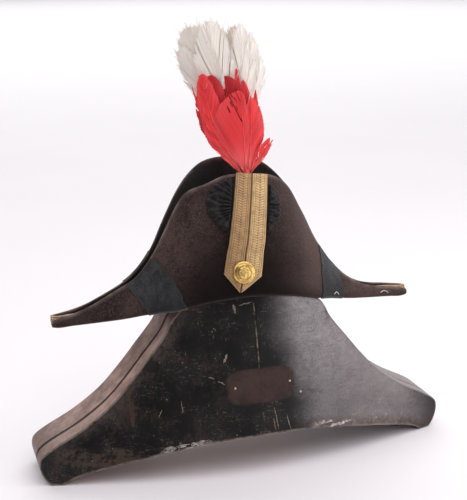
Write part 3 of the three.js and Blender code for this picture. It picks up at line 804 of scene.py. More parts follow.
def lace_finish():
    f = Finish("gold lace", {"Metallic": 0.55, "Specular IOR Level": 0.5})
    _, _, relief, right = f.marks()
    tarnish = f.noise(120, 4, 0.6)
    threads = f.noise(1, 2, 0.5, f.stretched(1600, 1600, 420))
    # The right run is painted lighter than the left: painted light on one side of the lace, in the bright
    # and the tarnished tones alike.
    bright = f.blend(right, (0.5, 0.31, 0.145), (0.68, 0.46, 0.225))
    dull = f.blend(right, (0.32, 0.19, 0.095), (0.46, 0.3, 0.15))
    tone = f.blend(f.span(tarnish, 0.42, 0.68, 0, 0.7), bright, dull)
    tone = f.blend(f.span(threads, 0.52, 0.75, 0, 0.5), tone, (0.2, 0.14, 0.09))
    tone = f.blend(f.span(threads, 0.25, 0.42, 0.4, 0), tone, (0.62, 0.45, 0.26))
    tone = f.blend(f.span(relief, 0.03, 0.5, 0.9, 0), tone, (0.12, 0.07, 0.036))
    f.paint(colour=tone, rough=f.span(tarnish, 0.3, 0.7, 0.4, 0.6), normal=f.bump(threads, 0.0003, 0.45))
    return f.material


def gilt_finish():
    f = Finish("gilt brass", {"Metallic": 1.0})
    relief = f.marks()[0]
    rubbed = f.noise(420, 4, 0.6)
    tone = f.blend(f.span(rubbed, 0.35, 0.7), (0.97, 0.69, 0.25), (0.82, 0.53, 0.16))
    tone = f.blend(f.span(relief, 0.0, 0.5, 0.75, 0), tone, (0.42, 0.25, 0.08))
    f.paint(colour=tone, rough=f.span(rubbed, 0.3, 0.7, 0.3, 0.46), normal=f.bump(rubbed, 0.0002, 0.3))
    return f.material


def feather_finish(name, deep, body, pale, quill, down, plain):
    f = Finish(name, FEATHER_SOCKETS)
    out, barb, share, shade = f.marks()
    tone = f.blend(f.span(barb, 0.1, 0.9, plain, 1), deep, body)
    tone = f.blend(f.span(out, 0.5, 1, 0, 0.35), tone, pale)
    # Painted shade: feathers behind others or in their shadow are darkened towards the deep tone.
    tone = f.blend(f.times(shade, 0.8), tone, deep)
    # Paler towards the root: painted light, lifting the shade that falls at the plume's neck.
    tone = f.blend(f.span(share, 0.05, 0.5, 0.7, 0), tone, pale)
    fluff = f.times(f.span(share, 0.05, 0.35, 0.8, 0), f.span(out, 0.2, 1, 0.3, 1))
    tone = f.blend(fluff, tone, down)
    tone = f.blend(f.span(out, -1.0, -0.5, 1, 0), tone, quill)
    f.paint(colour=tone, normal=f.bump(f.noise(1400, 2, 0.5), 0.0003, 0.3))
    return f.material


def bullion_finish():
    f = Finish("gold bullion", {"Metallic": 0.6, "Specular IOR Level": 0.5})
    ridge = f.marks()[0]
    tarnish = f.noise(160, 4, 0.6)
    tone = f.blend(f.span(tarnish, 0.35, 0.7), (0.66, 0.47, 0.29), (0.36, 0.22, 0.13))
    tone = f.blend(f.span(ridge, -1, 0.4, 0.85, 0), tone, (0.13, 0.075, 0.04))
    purl = f.bump(f.noise(2500, 2, 0.5), 0.0002, 0.4)
    f.paint(colour=tone, rough=f.span(tarnish, 0.3, 0.7, 0.35, 0.55), normal=purl)
    return f.material


def japan_finish():
    """Black paint over tin, browned on the front's left and rubbed to a grey sheen on its right, with the
    sheen's edge and fall-off painted in.
    """
    f = Finish("japanned tin", {"IOR": 1.45, "Specular IOR Level": 0.32})
    low, strip, edge, dirt_and_shade = f.marks()
    x, y, z = f.xyz()
    cloud = f.noise(22, 5, 0.62)
    grain = f.noise(240, 4, 0.65)
    fine = f.noise(1100, 3, 0.6)
    upright = f.noise(1, 3, 0.6, f.stretched(900, 900, 110))
    level = f.noise(1, 3, 0.6, f.stretched(110, 110, 900))
    hatch = f.math("MAXIMUM", upright, level)
    front = f.times(f.span(y, -0.03, -0.02, 1, 0), f.span(strip, 0.05, 0.25, 1, 0))
    slanted = f.plus(x, f.times(f.minus(z, RUB_TOP[1] * MM), RUB_SLANT))
    slanted = f.plus(slanted, f.times(f.minus(cloud, 0.5), 0.03))
    # The rubbed sheet's edge is painted where the key lamp's reflection begins.
    rubbed = f.times(front, f.span(slanted, (RUB_TOP[0] - 18) * MM, (RUB_TOP[0] + 24) * MM))

    # The dull sheet, browned on its left and flecked
    tone = f.blend(f.span(cloud, 0.4, 0.7), (0.0035, 0.0034, 0.0037), (0.009, 0.0081, 0.0081))
    thin = f.plus(f.noise(30, 6, 0.75), f.times(f.minus(grain, 0.5), 0.35))
    stain = f.times(f.span(x, -0.12, 0.0, 1, 0.3), f.span(thin, 0.46, 0.64, 0, 0.8))
    tone = f.blend(stain, tone, (0.036, 0.024, 0.0195))
    haze = f.times(f.span(edge, 3, 30, 0.9, 0), f.span(thin, 0.36, 0.58, 0.2, 1))
    haze = f.times(haze, f.times(f.span(x, -0.09, -0.03, 1, 0), f.span(low, 25, 50)))
    tone = f.blend(haze, tone, (0.055, 0.042, 0.037))
    flecks = f.times(f.span(hatch, 0.6, 0.7), f.span(f.noise(45, 4, 0.7), 0.45, 0.58))
    tone = f.blend(f.times(flecks, 0.9), tone, (0.12, 0.103, 0.095))
    tone = f.blend(spot(f, x, z, -0.18, 0.03, 0.06, 0.014, thin), tone, (0.06, 0.041, 0.03))
    tone = f.blend(spot(f, x, z, -0.139, 0.08, 0.0035, 0.03, thin), tone, (0.06, 0.034, 0.02))
    tone = f.blend(spot(f, x, z, -0.115, 0.123, 0.013, 0.009, thin), tone, (0.002, 0.002, 0.002))

    # The rubbed sheet, cloudy with fine crossed scratches, its sheen given painted shade towards the bottom
    sheen = f.blend(f.span(cloud, 0.3, 0.7), (0.098, 0.09, 0.0935), (0.18, 0.167, 0.172))
    sheen = f.blend(f.span(f.noise(60, 6, 0.75), 0.42, 0.6, 0, 0.6), sheen, (0.175, 0.162, 0.167))
    sheen = f.blend(f.span(hatch, 0.52, 0.68, 0, 0.5), sheen, (0.225, 0.206, 0.21))
    pits = f.span(f.math("MINIMUM", upright, level), 0.3, 0.46, 0.5, 0)
    sheen = f.blend(pits, sheen, (0.045, 0.04, 0.042))
    sheen = f.blend(f.times(f.span(x, 0.06, 0.16), 0.4), sheen, (0.13, 0.11, 0.11))
    sheen = f.blend(f.span(x, 0.2, 0.237, 0, 0.75), sheen, (0.03, 0.028, 0.03))
    # Darker towards the bottom of the sheen: painted shade on the reflection.
    dim = f.times(f.span(z, 0.04, 0.14, 0.35, 0), f.span(x, 0.08, 0.2, 1, 0.2))
    sheen = f.blend(dim, sheen, (0.06, 0.054, 0.056))
    foot = f.times(f.span(low, 3, 15, 0.95, 0), f.span(grain, 0.4, 0.58, 0.3, 1))
    sheen = f.blend(foot, sheen, (0.075, 0.053, 0.042))
    crumbs = f.times(f.span(f.noise(330, 3, 0.6), 0.62, 0.67), f.span(f.noise(60, 3, 0.6), 0.46, 0.54))
    crumbs = f.times(crumbs, f.times(f.span(low, 8, 40, 1, 0), f.bell(x, 0.165, 0.075)))
    sheen = f.blend(crumbs, sheen, (0.42, 0.385, 0.35))
    tone = f.blend(rubbed, tone, sheen)

    # The strip round the edge, browned on the left and with a painted sheen on the right, and the grime and
    # painted shade along the parting line and on the inner sides
    browned = f.times(strip, f.span(x, 0.02, 0.1, 1, 0))
    bare = f.blend(f.span(f.noise(50, 5, 0.7), 0.35, 0.65), (0.23, 0.142, 0.12), (0.45, 0.298, 0.253))
    bare = f.blend(f.span(x, -0.235, -0.19, 0.5, 0), bare, (0.13, 0.09, 0.08))
    tone = f.blend(f.times(browned, f.span(cloud, 0.25, 0.6, 0.7, 1)), tone, bare)
    # The strip on the right is painted a light grey: a painted sheen like the rubbed panel's reflection.
    on_right = f.times(f.span(strip, 0.05, 0.25), f.span(x, 0.08, 0.14))
    tone = f.blend(on_right, tone, (0.25, 0.217, 0.214))
    # Near black along the parting line and on the hidden inner sides: grime, and painted shade in the gap.
    parting = f.times(f.span(dirt_and_shade, 0.2, 0.8, 0, 0.9), f.span(x, 0.06, 0.14, 1, 0.4))
    tone = f.blend(parting, tone, (0.006, 0.005, 0.005))

    # Small chips and worn edges down to the bare metal
    specks = f.times(f.span(f.cells(150), 0.06, 0.12, 1, 0), f.span(f.noise(60, 3, 0.6), 0.5, 0.6))
    tone = f.blend(f.times(specks, f.span(x, 0.0, 0.02, 0.75, 0.3)), tone, (0.3, 0.28, 0.265))
    worn_edge = f.times(f.span(edge, 0.2, 2.0, 1, 0), f.span(f.noise(130, 4, 0.7), 0.36, 0.6, 0.25, 1))
    on_left = f.math("MAXIMUM", f.span(x, 0.1, 0.14, 1, 0), f.span(low, 4, 9, 1, 0))
    worn_edge = f.times(worn_edge, f.times(on_left, f.span(x, 0.05, 0.12, 0.85, 0.4)))
    tone = f.blend(worn_edge, tone, (0.24, 0.19, 0.165))
    near_foot = f.span(f.plus(low, f.times(grain, -13.0)), -2.0, 1.5, 1, 0)
    cluster = f.plus(f.bell(x, 0.088, 0.036), f.bell(x, -0.086, 0.04))
    shards = f.noise(1, 3, 0.6, f.stretched(75, 75, 190))
    flakes = f.times(near_foot, f.times(cluster, f.span(shards, 0.5, 0.53)))
    tone = f.blend(flakes, tone, f.blend(f.span(grain, 0.4, 0.65), (0.3, 0.27, 0.26), (0.66, 0.62, 0.6)))

    # The lap of the two sheets
    line = f.math("ABSOLUTE", f.minus(x, SEAM_X * MM))
    lap = f.times(f.span(line, 0.0003, 0.0011, 1, 0), f.span(f.noise(110, 4, 0.7), 0.42, 0.58))
    lap = f.times(f.times(lap, front), f.span(z, 0.1, 0.14, 0.35, 1))
    tone = f.blend(lap, tone, (0.22, 0.165, 0.125))

    # The brown patch where a plate was
    patch = f.times(patch_mask(f, x, z, f.noise(90, 5, 0.7)), front)
    rust = f.span(f.noise(40, 5, 0.65), 0.35, 0.65)
    brown = f.blend(rust, (0.034, 0.0188, 0.0153), (0.053, 0.0302, 0.0255))
    brown = f.blend(f.span(grain, 0.56, 0.7, 0, 0.6), brown, (0.016, 0.0101, 0.0087))
    tone = f.blend(patch, tone, brown)

    rough = f.between(rubbed, f.span(cloud, 0.3, 0.7, 0.36, 0.48), f.span(cloud, 0.3, 0.7, 0.17, 0.29))
    rough = f.between(patch, f.plus(rough, f.times(grain, 0.1)), 0.75)
    painted = f.minus(1.0, f.math("MAXIMUM", patch, flakes))
    metal = f.plus(f.times(f.times(rubbed, 0.9), painted), f.times(flakes, 0.4))
    height = f.plus(f.times(grain, 0.7), f.times(fine, 0.5))
    height = f.minus(height, f.times(flakes, 1.5))
    f.paint(colour=tone, rough=rough, metal=metal, normal=f.bump(height, 0.00012, 0.4))
    return f.material


def patch_mask(f, x, z, ragged):
    """1 on the patch and 0 off it, with rounded corners and a soft ragged edge."""
    reach = 0.0
    for place, middle, half in zip((x, z), PATCH_MIDDLE, PATCH_HALF):
        off = f.math("ABSOLUTE", f.minus(place, middle * MM))
        reach = f.plus(f.math("POWER", f.math("DIVIDE", off, half * MM), PATCH_SQUARE), reach)
    size = f.plus(f.math("POWER", reach, 1 / PATCH_SQUARE), f.times(ragged, 0.3))
    return f.span(size, 1.06, 1.2, 1, 0)


def spot(f, x, z, along, up, wide, tall, ragged):
    """A soft mark on the panel, broken up by a ragged noise."""
    inside = f.times(f.bell(x, along, wide), f.bell(z, up, tall))
    return f.times(f.span(inside, 0.05, 0.35), f.span(ragged, 0.4, 0.55, 0, 0.9))


def bare_finish():
    f = Finish("bare scratched tin", {"Metallic": 0.2, "Roughness": 0.6})
    tone = f.blend(f.span(f.noise(500, 3, 0.6), 0.35, 0.65), (0.12, 0.085, 0.065), (0.34, 0.28, 0.23))
    f.paint(colour=tone, normal=f.bump(f.noise(900, 2, 0.5), 0.0002, 0.4))
    return f.material


def nail_finish():
    f = Finish("nail heads", {"Metallic": 0.9, "Roughness": 0.3})
    f.paint(colour=f.blend(f.noise(900, 2, 0.5), (0.75, 0.72, 0.66), (0.45, 0.4, 0.34)))
    return f.material


def thread_finish():
    f = Finish("cotton thread", {"Roughness": 0.9, "Sheen Weight": 0.2})
    f.paint(colour=f.blend(f.noise(1500, 2, 0.5), (0.78, 0.76, 0.72), (0.55, 0.52, 0.48)))
    return f.material


def floor_finish():
    f = Finish("pale floor", {"Roughness": 0.7, "Specular IOR Level": 0.15})
    cloud = f.span(f.noise(3, 2, 0.5), 0.3, 0.7)
    f.paint(colour=f.blend(cloud, (0.868, 0.84, 0.868), (0.878, 0.85, 0.878)))
    return f.material


# The felt hat
def brim_turns():
    walls = np.linspace(FOLD_SHARE, 1, WALL_ROWS)
    fold = np.linspace(-FOLD_SHARE, FOLD_SHARE, FOLD_ROWS + 1)[1:-1]
    return np.concatenate([-walls[::-1], fold, walls])


def felt_brim(material):
    along = np.linspace(-BRIM_HALF, BRIM_HALF, BRIM_COLUMNS + 1)
    turns = brim_turns()
    outer = brim_point(along[:, None], turns[None, :], 0.0)
    inner = brim_point(along[:, None], turns[None, :], -FELT)
    share = (np.abs(turns) - FOLD_SHARE) / (1 - FOLD_SHARE)
    size = brim_size(along[:, None], np.where(turns < 0, -1.0, 1.0)[None, :])
    from_edge = (1 - np.maximum(share, 0))[None, :] * (size.top - size.corner)
    edge = hump(from_edge, WORN_EDGE)
    outer_marks = together(edge, 0, share[None, :], 0)
    inner_marks = together(edge, 1, share[None, :], 0)
    cap_marks = np.broadcast_to(np.array((1, 0.3, 1, 0)), (len(along), EDGE_STEPS, 4))
    rear_cap = rounded_edge(outer, inner, -1, -2)
    front_cap = rounded_edge(outer, inner, 0, 1)[:, ::-1]
    loop = np.concatenate([outer, rear_cap, inner[:, ::-1], front_cap], axis=1)
    marks = np.concatenate([outer_marks, cap_marks, inner_marks[:, ::-1], cap_marks], axis=1)

    shape = Shape()
    shape.add_grid(hat_place(loop), marks, wrap_rows=True)
    for column in (0, BRIM_COLUMNS):
        close_tip(shape, column * loop.shape[1], len(turns))
    brim = shape.piece("brim_felt", material, sharp=BRIM_SHARP)
    carve(brim, opening_cutter())
    settle(brim, "brim")


def close_tip(shape, start, across):
    """The end of the brim at a tip: the felt between its two skins, and its two rounded edges."""
    inner_end = start + 2 * across + EDGE_STEPS - 1
    for row in range(across - 1):
        shape.faces.append([start + row, start + row + 1, inner_end - row - 1, inner_end - row])
    shape.faces.append([start + across - 1 + n for n in range(EDGE_STEPS + 2)])
    shape.faces.append([inner_end + n for n in range(EDGE_STEPS + 1)] + [start])


def rounded_edge(outer, inner, last, before):
    """A half round between the two skins at the end of a leaf."""
    middle = (outer[:, last] + inner[:, last]) / 2
    out = (outer[:, last] - inner[:, last]) / 2
    up = unit(outer[:, last] - outer[:, before]) * lengths(out)
    angle = np.linspace(0, math.pi, EDGE_STEPS + 2)[None, 1:-1, None]
    return middle[:, None] + (np.cos(angle) * out[:, None] + np.sin(angle) * up[:, None])


def opening_cutter():
    around = full_turn(CUTTER_SIDES)
    heights = np.array(CUTTER_HEIGHTS)[None, :]
    grid = together(HEAD_HALF_LENGTH * np.cos(around), HEAD_HALF_WIDTH * np.sin(around), heights)
    faces = grid_faces(CUTTER_SIDES, 2, wrap_columns=True).tolist()
    for end in (0, 1):
        faces.append(list(range(end, 2 * CUTTER_SIDES, 2)))
    mesh = bpy.data.meshes.new("opening")
    mesh.from_pydata((hat_place(grid).reshape(-1, 3) * MM).tolist(), [], faces)
    clean(mesh)
    return stand("opening", mesh)


def carve(piece, cutter):
    """Cuts one closed mesh out of another and drops the cutter."""
    step = piece.modifiers.new("opening", "BOOLEAN")
    step.object = cutter
    step.operation = "DIFFERENCE"
    step.solver = "EXACT"
    carved = bpy.data.meshes.new_from_object(piece.evaluated_get(bpy.context.evaluated_depsgraph_get()))
    piece.modifiers.clear()
    whole = piece.data
    piece.data = carved
    carved.shade_smooth()
    carved.set_sharp_from_angle(angle=math.radians(BRIM_SHARP))
    bpy.data.meshes.remove(whole)
    bpy.data.objects.remove(cutter)


def opening_height(along, depth):
    size = brim_size(along, np.full_like(along, -1.0))
    share = np.minimum(np.abs(depth) / size.reach, 1)
    return size.fold + (size.corner - size.fold) * (1 - np.sqrt(1 - share * share))


def felt_crown(material):
    around = full_turn(CROWN_SIDES)
    tilt = np.linspace(0, math.pi / 2, CROWN_ROWS)[None, :]
    foot = opening_height(HEAD_HALF_LENGTH * np.cos(around), HEAD_HALF_WIDTH * np.sin(around))
    narrow = np.maximum(np.cos(tilt), 0) ** CROWN_TAPER

    def skin(inset):
        rise = (CROWN_HEIGHT - inset - foot) * np.sin(tilt) ** CROWN_TAPER
        x = (HEAD_HALF_LENGTH - GAP - inset) * np.cos(around) * narrow
        y = (HEAD_HALF_WIDTH - GAP - inset) * np.sin(around) * narrow
        return together(x, y, foot + rise)

    shape = Shape()
    both = np.concatenate([skin(0)[:, ::-1], skin(FELT)], axis=1)
    shape.add_grid(hat_place(both), (0, 0.6, 0.5, 0), wrap_columns=True)
    shape.piece("crown_felt", material, "crown", "felt")


# The ribbons, laid over the leaves at the horns
def ribbon_band(row, leaf, material):
    side, way, fold_middle, fold_half, top_middle, top_half = row
    turns = np.linspace(RIBBON_LOW_TURN, 1, RIBBON_ROWS)[None, :]
    across = np.linspace(-1, 1, RIBBON_COLUMNS)[:, None]
    climb = (turns - RIBBON_LOW_TURN) / (1 - RIBBON_LOW_TURN)
    frayed = 0.9 * hills(0, climb * 14 + 3 * leaf, seed=8) + 0.5 * hills(3, climb * 41 + leaf, seed=8)
    half = mix(fold_half, top_half, climb)
    along = way * (mix(fold_middle, top_middle, climb) + half * across + frayed * across)
    puff = 0.22 * hills(along / 7, climb * 7, seed=9) + 0.25 * np.abs(across) ** 6
    top = brim_point(along, leaf * turns, RIBBON_TOP + puff)
    under = brim_point(along, leaf * turns, RIBBON_UNDER)
    run = walk(top[RIBBON_COLUMNS // 2])
    shape = Shape()
    marks = together(0, run[None, :], smooth(np.abs(across), 0.86, 1), 0)
    shape.add_slab(hat_place(top), hat_place(under), marks)
    leaf_name = "front" if leaf < 0 else "rear"
    node = f"ribbon_{leaf_name}_{side}"
    made = shape.piece(f"{node}_cloth", material, node, "ribbon", sharp=60)


# The lace, the cockade under it and the button
def lace_axis(up):
    return LACE_POINT_ALONG + (up - LACE_POINT_UP) * LACE_SLANT


def lace_lift(up):
    on_cockade = smooth(up, COCKADE_BOTTOM - 16, COCKADE_BOTTOM - 3)
    return GAP + on_cockade * (COCKADE_LIFT + COCKADE_PRESSED)


def lace_point(across, down, lift):
    low = LACE_POINT_UP + LACE_MITRE * np.abs(across)
    middle = mix(LACE_TOP_UP, low, down)
    aside = across * mix(LACE_HALF_TOP, LACE_HALF_FOOT, down)
    up = middle - aside * LACE_TILT
    return front_point(lace_axis(middle) + aside, up, lace_lift(up) + lift)


def lace_relief(place, run):
    """The woven surface of one run, from 0 in its grooves to 1 on its ridges."""
    off = np.abs(place)
    chevron = 0.5 + 0.5 * np.cos(2 * math.pi * (run / CHEVRON_PITCH + 1.15 * off))
    twill = 0.5 + 0.5 * np.cos(2 * math.pi * (run / TWILL_PITCH - 3.0 * off))
    cloth = np.where(off < LACE_FIELD, 0.25 + 0.75 * chevron, 0.45 + 0.55 * twill)
    groove = hump(off - LACE_FIELD, 0.035) + hump(off - LACE_BORDER, 0.03)
    return np.clip(cloth - 0.9 * groove - 0.55 * hump(off, 0.045), 0, 1)


def lace_strap(material):
    run_places = np.linspace(LACE_SLIT * 1.15, 1, RUN_COLUMNS)
    across = np.concatenate([-run_places[::-1], (-LACE_SLIT, LACE_SLIT), run_places])[:, None]
    down = np.linspace(0, 1, LACE_ROWS + 1)[None, :]
    off = np.abs(across)
    place = (off - 0.52) / 0.48
    length = LACE_LENGTH - LACE_MITRE * off
    to_mitre = (1 - down) * length * MITRE_SLOPE
    woven = lace_relief(place, down * length)
    mitred = lace_relief(np.clip(1 - to_mitre / MITRE_HALF, -1, 1), off * MITRE_LENGTH)
    relief = np.where(to_mitre < MITRE_EDGE, mitred, woven)
    in_slit = off <= LACE_SLIT * 1.01
    rounding = 0.9 * np.clip((np.abs(place) - 0.86) / 0.14, 0, 1) ** 2
    thick = np.where(in_slit, LACE_WEB, LACE - 0.45 + 0.6 * relief - rounding)
    marks = together(0, 0, np.where(in_slit, 0.0, relief), across > 0)
    upper = hat_place(lace_point(across, down, thick))
    under = hat_place(lace_point(across, down, 0.0))
    shape = Shape()
    shape.add_slab(upper, under, marks)
    shape.piece("lace_gold", material, "lace_loop", "lace", sharp=75)


def silk_folds(around, share):
    """The gathers of the silk, its height, and how far it reaches from its middle."""
    turns = around / (2 * math.pi)
    uneven = 1.4 * np.sin(3 * around + 0.7) + 1.2 * np.sin(5 * around + 2.1) + 0.9 * np.sin(9 * around)
    swirl = 3.0 * hills(turns * 11, share * 3, seed=21) * share
    phase = GATHERS * around + uneven + swirl
    gather = (0.5 + 0.5 * np.cos(phase)) ** 0.7
    fine = 0.5 + 0.5 * np.cos(2.07 * phase + 5 * share)
    puffs = hills(turns * 40, share * 6, seed=22)
    crumple = hills(turns * 90, share * 14, seed=23)
    seam = 0.66 + 0.04 * hills(turns * 7, 0.5, seed=24)
    stitched = hump(share - seam, 0.05)
    outer = smooth(share, seam, seam + 0.12)
    ruffle = 2.0 + 2.2 * smooth(share, 0.08, 0.45) - 1.5 * stitched
    folds = (1.7 * gather + 0.6 * fine) * smooth(share, 0.05, 0.5)
    folds = folds * (1 - 0.5 * stitched) * (1 - 0.55 * outer)
    height = ruffle + folds + (0.5 + 1.5 * outer) * puffs + (0.3 + 0.6 * outer) * crumple
    height = np.maximum(height - 1.8 * smooth(share, 0.93, 1), 0.8)
    reach = COCKADE_RADIUS * share + (0.8 * (gather - 0.5) + 1.5 * puffs + 0.7 * crumple) * share**4
    return gather, height, reach


def silk_cockade(material):
    around = full_turn(SILK_COLUMNS)
    share = np.linspace(SILK_MIDDLE, 1, SILK_ROWS)[None, :]
    gather, height, reach = silk_folds(around, share)
    along = COCKADE_ALONG + reach * np.cos(around)
    up = COCKADE_UP + reach * np.sin(around) * COCKADE_FLATTEN
    aside = (along - lace_axis(up)) / (1 + LACE_TILT * LACE_SLANT)
    under_lace = 1 - smooth(np.abs(aside), LACE_HALF_FOOT - 1.2, LACE_HALF_FOOT + 2.2)
    height = mix(height, np.minimum(height, COCKADE_PRESSED - 0.4), under_lace)

    skirt = np.array(SILK_SKIRT)[None, :]
    tuck = np.full_like(skirt, SILK_TUCK)
    low = np.concatenate([height, height[:, -1:] * skirt], axis=1)
    wide = np.concatenate([along, mix(COCKADE_ALONG, along[:, -1:], tuck)], axis=1)
    tall = np.concatenate([up, mix(COCKADE_UP, up[:, -1:], tuck)], axis=1)
    ridge = np.concatenate([gather, gather[:, -1:] + 0 * skirt], axis=1)
    grid = front_point(wide, tall, COCKADE_LIFT - 0.5 + low)
    shape = Shape()
    shape.add_grid(hat_place(grid), together(ridge, 0, 0, 0), wrap_columns=True)
    made = shape.piece("cockade_silk", material, "cockade", "silk", sharp=80)


def button_face(radius, around):
    """The chased front, a veined flower in a ring of beads with a rolled rim: its relief and height."""
    petal_reach = 0.3 + 0.24 * np.abs(np.cos(4 * around)) ** 0.6
    petals = 1 - smooth(radius, petal_reach - 0.06, petal_reach + 0.03)
    veins = 0.5 * hump(np.sin(4 * around + math.pi / 2) * radius, 0.05) * smooth(radius, 0.12, 0.2)
    flower = 0.15 + 0.5 * petals - 0.3 * veins * petals + 0.3 * half_round(radius / 0.13)
    beads = hump(radius - 0.7, 0.035) * (0.35 + 0.65 * np.abs(np.cos(18 * around)))
    rolled = half_round((radius - 0.93) / 0.07)
    worn = 0.3 * hills(radius * np.cos(around) * 5 + 9, radius * np.sin(around) * 5 + 9, seed=91)
    relief = np.clip(flower + 0.3 * beads + 0.4 * rolled + worn, 0, 1)
    dome = (BUTTON_HEIGHT - 2 * BUTTON_RIM) * half_round(radius / 0.95) * 0.62
    return relief, 1.6 * BUTTON_RIM + dome + 0.8 * relief * (1 - smooth(radius, 0.98, 1) * 0.5)


def gilt_button(material):
    radius = np.linspace(0, 1, BUTTON_RINGS)[None, :]
    around = full_turn(BUTTON_SIDES)
    relief, height = button_face(radius, around)
    skirt = np.array(BUTTON_SKIRT)
    skirt_height = np.broadcast_to(skirt[:, 1], (BUTTON_SIDES, len(skirt)))
    rings = np.concatenate([radius, skirt[None, :, 0]], axis=1) * BUTTON_RADIUS
    tall = np.concatenate([height, skirt_height], axis=1)
    grid = together(rings * np.cos(around), rings * np.sin(around), tall)
    marks = together(np.concatenate([relief, np.full_like(skirt_height, 0.6)], axis=1), 0, 0, 0)

    along = lace_axis(BUTTON_UP)
    step = 2.0
    across = front_point(along + step, BUTTON_UP, 0.0) - front_point(along - step, BUTTON_UP, 0.0)
    upward = front_point(along, BUTTON_UP + step, 0.0) - front_point(along, BUTTON_UP - step, 0.0)
    out = unit(np.cross(across, upward))
    right = unit(across)
    over = np.cross(out, right)
    seat = front_point(along, BUTTON_UP, 0.0) + out * (float(lace_lift(BUTTON_UP)) + LACE + GAP)
    placed = seat + grid[..., :1] * right + grid[..., 1:2] * over + grid[..., 2:] * out
    shape = Shape()
    shape.add_grid(hat_place(placed), marks, wrap_columns=True)
    shape.piece("button_gilt", material, "button", "gilt", sharp=60)


# Feathers
def feather_half(share, feather):
    """Half the vane's width from the root to a rounded or a pointed tip."""
    past = np.clip((share - 0.5) / 0.5, 0, 1)
    tip = mix(1 - past**1.5, np.sqrt(1 - past**2.8), feather.blunt)
    return feather.width / 2 * (0.12 + 0.88 * smooth(share, 0, 0.55)) * tip


class Quill:
    """A feather's stem, a bowed line from its root to its tip."""

    def __init__(self, root, tip, bow):
        self.root = root
        self.tip = tip
        self.bend = (root + tip) / 2 + np.array((bow, (tip[1] - root[1]) * 0.35, 0))

    def point(self, share):
        share = np.asarray(share, float)[..., None]
        return (1 - share) ** 2 * self.root + 2 * share * (1 - share) * self.bend + share**2 * self.tip

    def frame(self, share):
        """The way across the quill, and the way its face looks."""
        share = np.asarray(share, float)[..., None]
        run = unit(2 * (1 - share) * (self.bend - self.root) + 2 * share * (self.tip - self.bend))
        across = unit(together(run[..., 2], 0, -run[..., 0]))
        return across, np.cross(run, across)


def add_feather(shape, root, feather, dice, downy, nicks=()):
    """One feather: a thin quill with a vane on each side."""
    aside = np.clip(ROOT_SPREAD * (feather.tip_x - root[0]), -ROOT_HALF, ROOT_HALF)
    root = root + np.array((aside, 0, 0))
    tip = np.array((feather.tip_x, feather.tip_y, feather.tip_z), float)
    quill = Quill(root, tip, feather.bow)
    lean = dice.normal(0, 0.12) - FAN_TURN * np.clip((feather.tip_x - root[0]) / FAN_REACH, -1, 1)
    for side in (-1, 1):
        add_vane(shape, quill, side, feather, lean, dice, downy, nicks)
    stem = np.linspace(0, 0.9, QUILL_STEPS)
    path = quill.point(stem) - 0.25 * quill.frame(stem)[1]
    shape.add_tube(path, np.linspace(*QUILL_RADII, QUILL_STEPS), 6, (-1, 0.5, 0.5, feather.shade))


def add_vane(shape, quill, side, feather, lean, dice, downy, nicks):
    """One side of a feather: close barbs in tufts, parted here and there at the edge."""
    long = walk(quill.point(np.linspace(0, 1, 40)))[-1]
    ladder = np.linspace(0.05, 1, 400)
    walked = walk(together(ladder * long, feather_half(ladder, feather)))
    barbs = int(np.clip(walked[-1] / BARB_SPACING, FEWEST_BARBS, MOST_BARBS))
    number = np.arange(barbs)
    reach = np.linspace(0, 1, BARB_STEPS)[None, :]

    # Where each barb starts on the quill and ends at the edge
    ends = np.interp(np.linspace(0, walked[-1], barbs), walked, ladder)
    half = feather_half(ends, feather) * (1 + feather.skew * side)
    half = half * (1 + (0.05 + 0.07 * downy) * hills(number / 9, 3.1 * side, dice.integers(999)))
    half = half * (1 + dice.normal(0, 0.01 + 0.05 * downy, barbs))
    slope = np.tan(np.radians(mix(42 - 22 * downy, 22 - 14 * downy, ends)))
    starts = np.clip(ends - half / (long * slope), 0.02, 1)

    # The tufts, pulled apart along the edge and raised by turns
    splits = dice.choice(np.arange(6, barbs - 4), dice.integers(2, 5 + int(5 * downy)), replace=False)
    splits = np.sort(splits)
    parted = np.zeros(barbs)
    for split in splits:
        off = number - split + 0.5
        pull = np.sign(off) * dice.uniform(0.15, 0.9 + downy)
        parted += pull * np.exp(-np.abs(off) / dice.uniform(4, 14))
    tuft = np.searchsorted(splits, number, side="right")
    raised = dice.normal(0, 0.35 + 0.5 * downy, len(splits) + 1)[tuft]
    stray = dice.normal(0, 0.07 + 0.18 * downy, barbs)

    # Each barb's points, off the quill along the vane's lean
    along = mix(starts[:, None], ends[:, None], reach**1.2)
    along = np.clip(along + parted[:, None] * reach**3 / long, 0, 1.03)
    out = half[:, None] * reach
    wave = hills(along * 5 + feather.shade * 9, 1.5 * reach + side, seed=17)
    lift = -0.3 * out**2 / feather.width + (raised + stray)[:, None] * reach**2 + 0.9 * wave * reach
    across, face = quill.frame(along)
    leaned = across * math.cos(lean) * side - face * math.sin(lean) * side
    spots = quill.point(along) + out[..., None] * leaned - lift[..., None] * face
    grain = 0.55 + 0.35 * hills(number / 6, side * 2.7, dice.integers(999)) + dice.normal(0, 0.12, barbs)
    marks = together(reach, np.clip(grain, 0, 1)[:, None], along, feather.shade)
    for part in np.split(number, splits):
        if len(part) > 1:
            faces = uncut(grid_faces(len(part), BARB_STEPS), spots[part].reshape(-1, 3), nicks)
            shape.add(hat_place(spots[part]), faces, marks[part])
    add_wisps(shape, spots, marks, dice, downy)


def uncut(faces, points, nicks):
    """The faces of a vane that no slit runs through."""
    middle = points[faces].mean(axis=1)[:, (0, 2)]
    kept = np.ones(len(faces), bool)
    for x0, z0, x1, z1 in nicks:
        start = np.array((x0, z0))
        run = np.array((x1, z1)) - start
        share = np.clip((middle - start) @ run / (run @ run), 0, 1)
        kept &= np.linalg.norm(middle - start - share[:, None] * run, axis=1) > NICK_HALF
    return faces[kept]


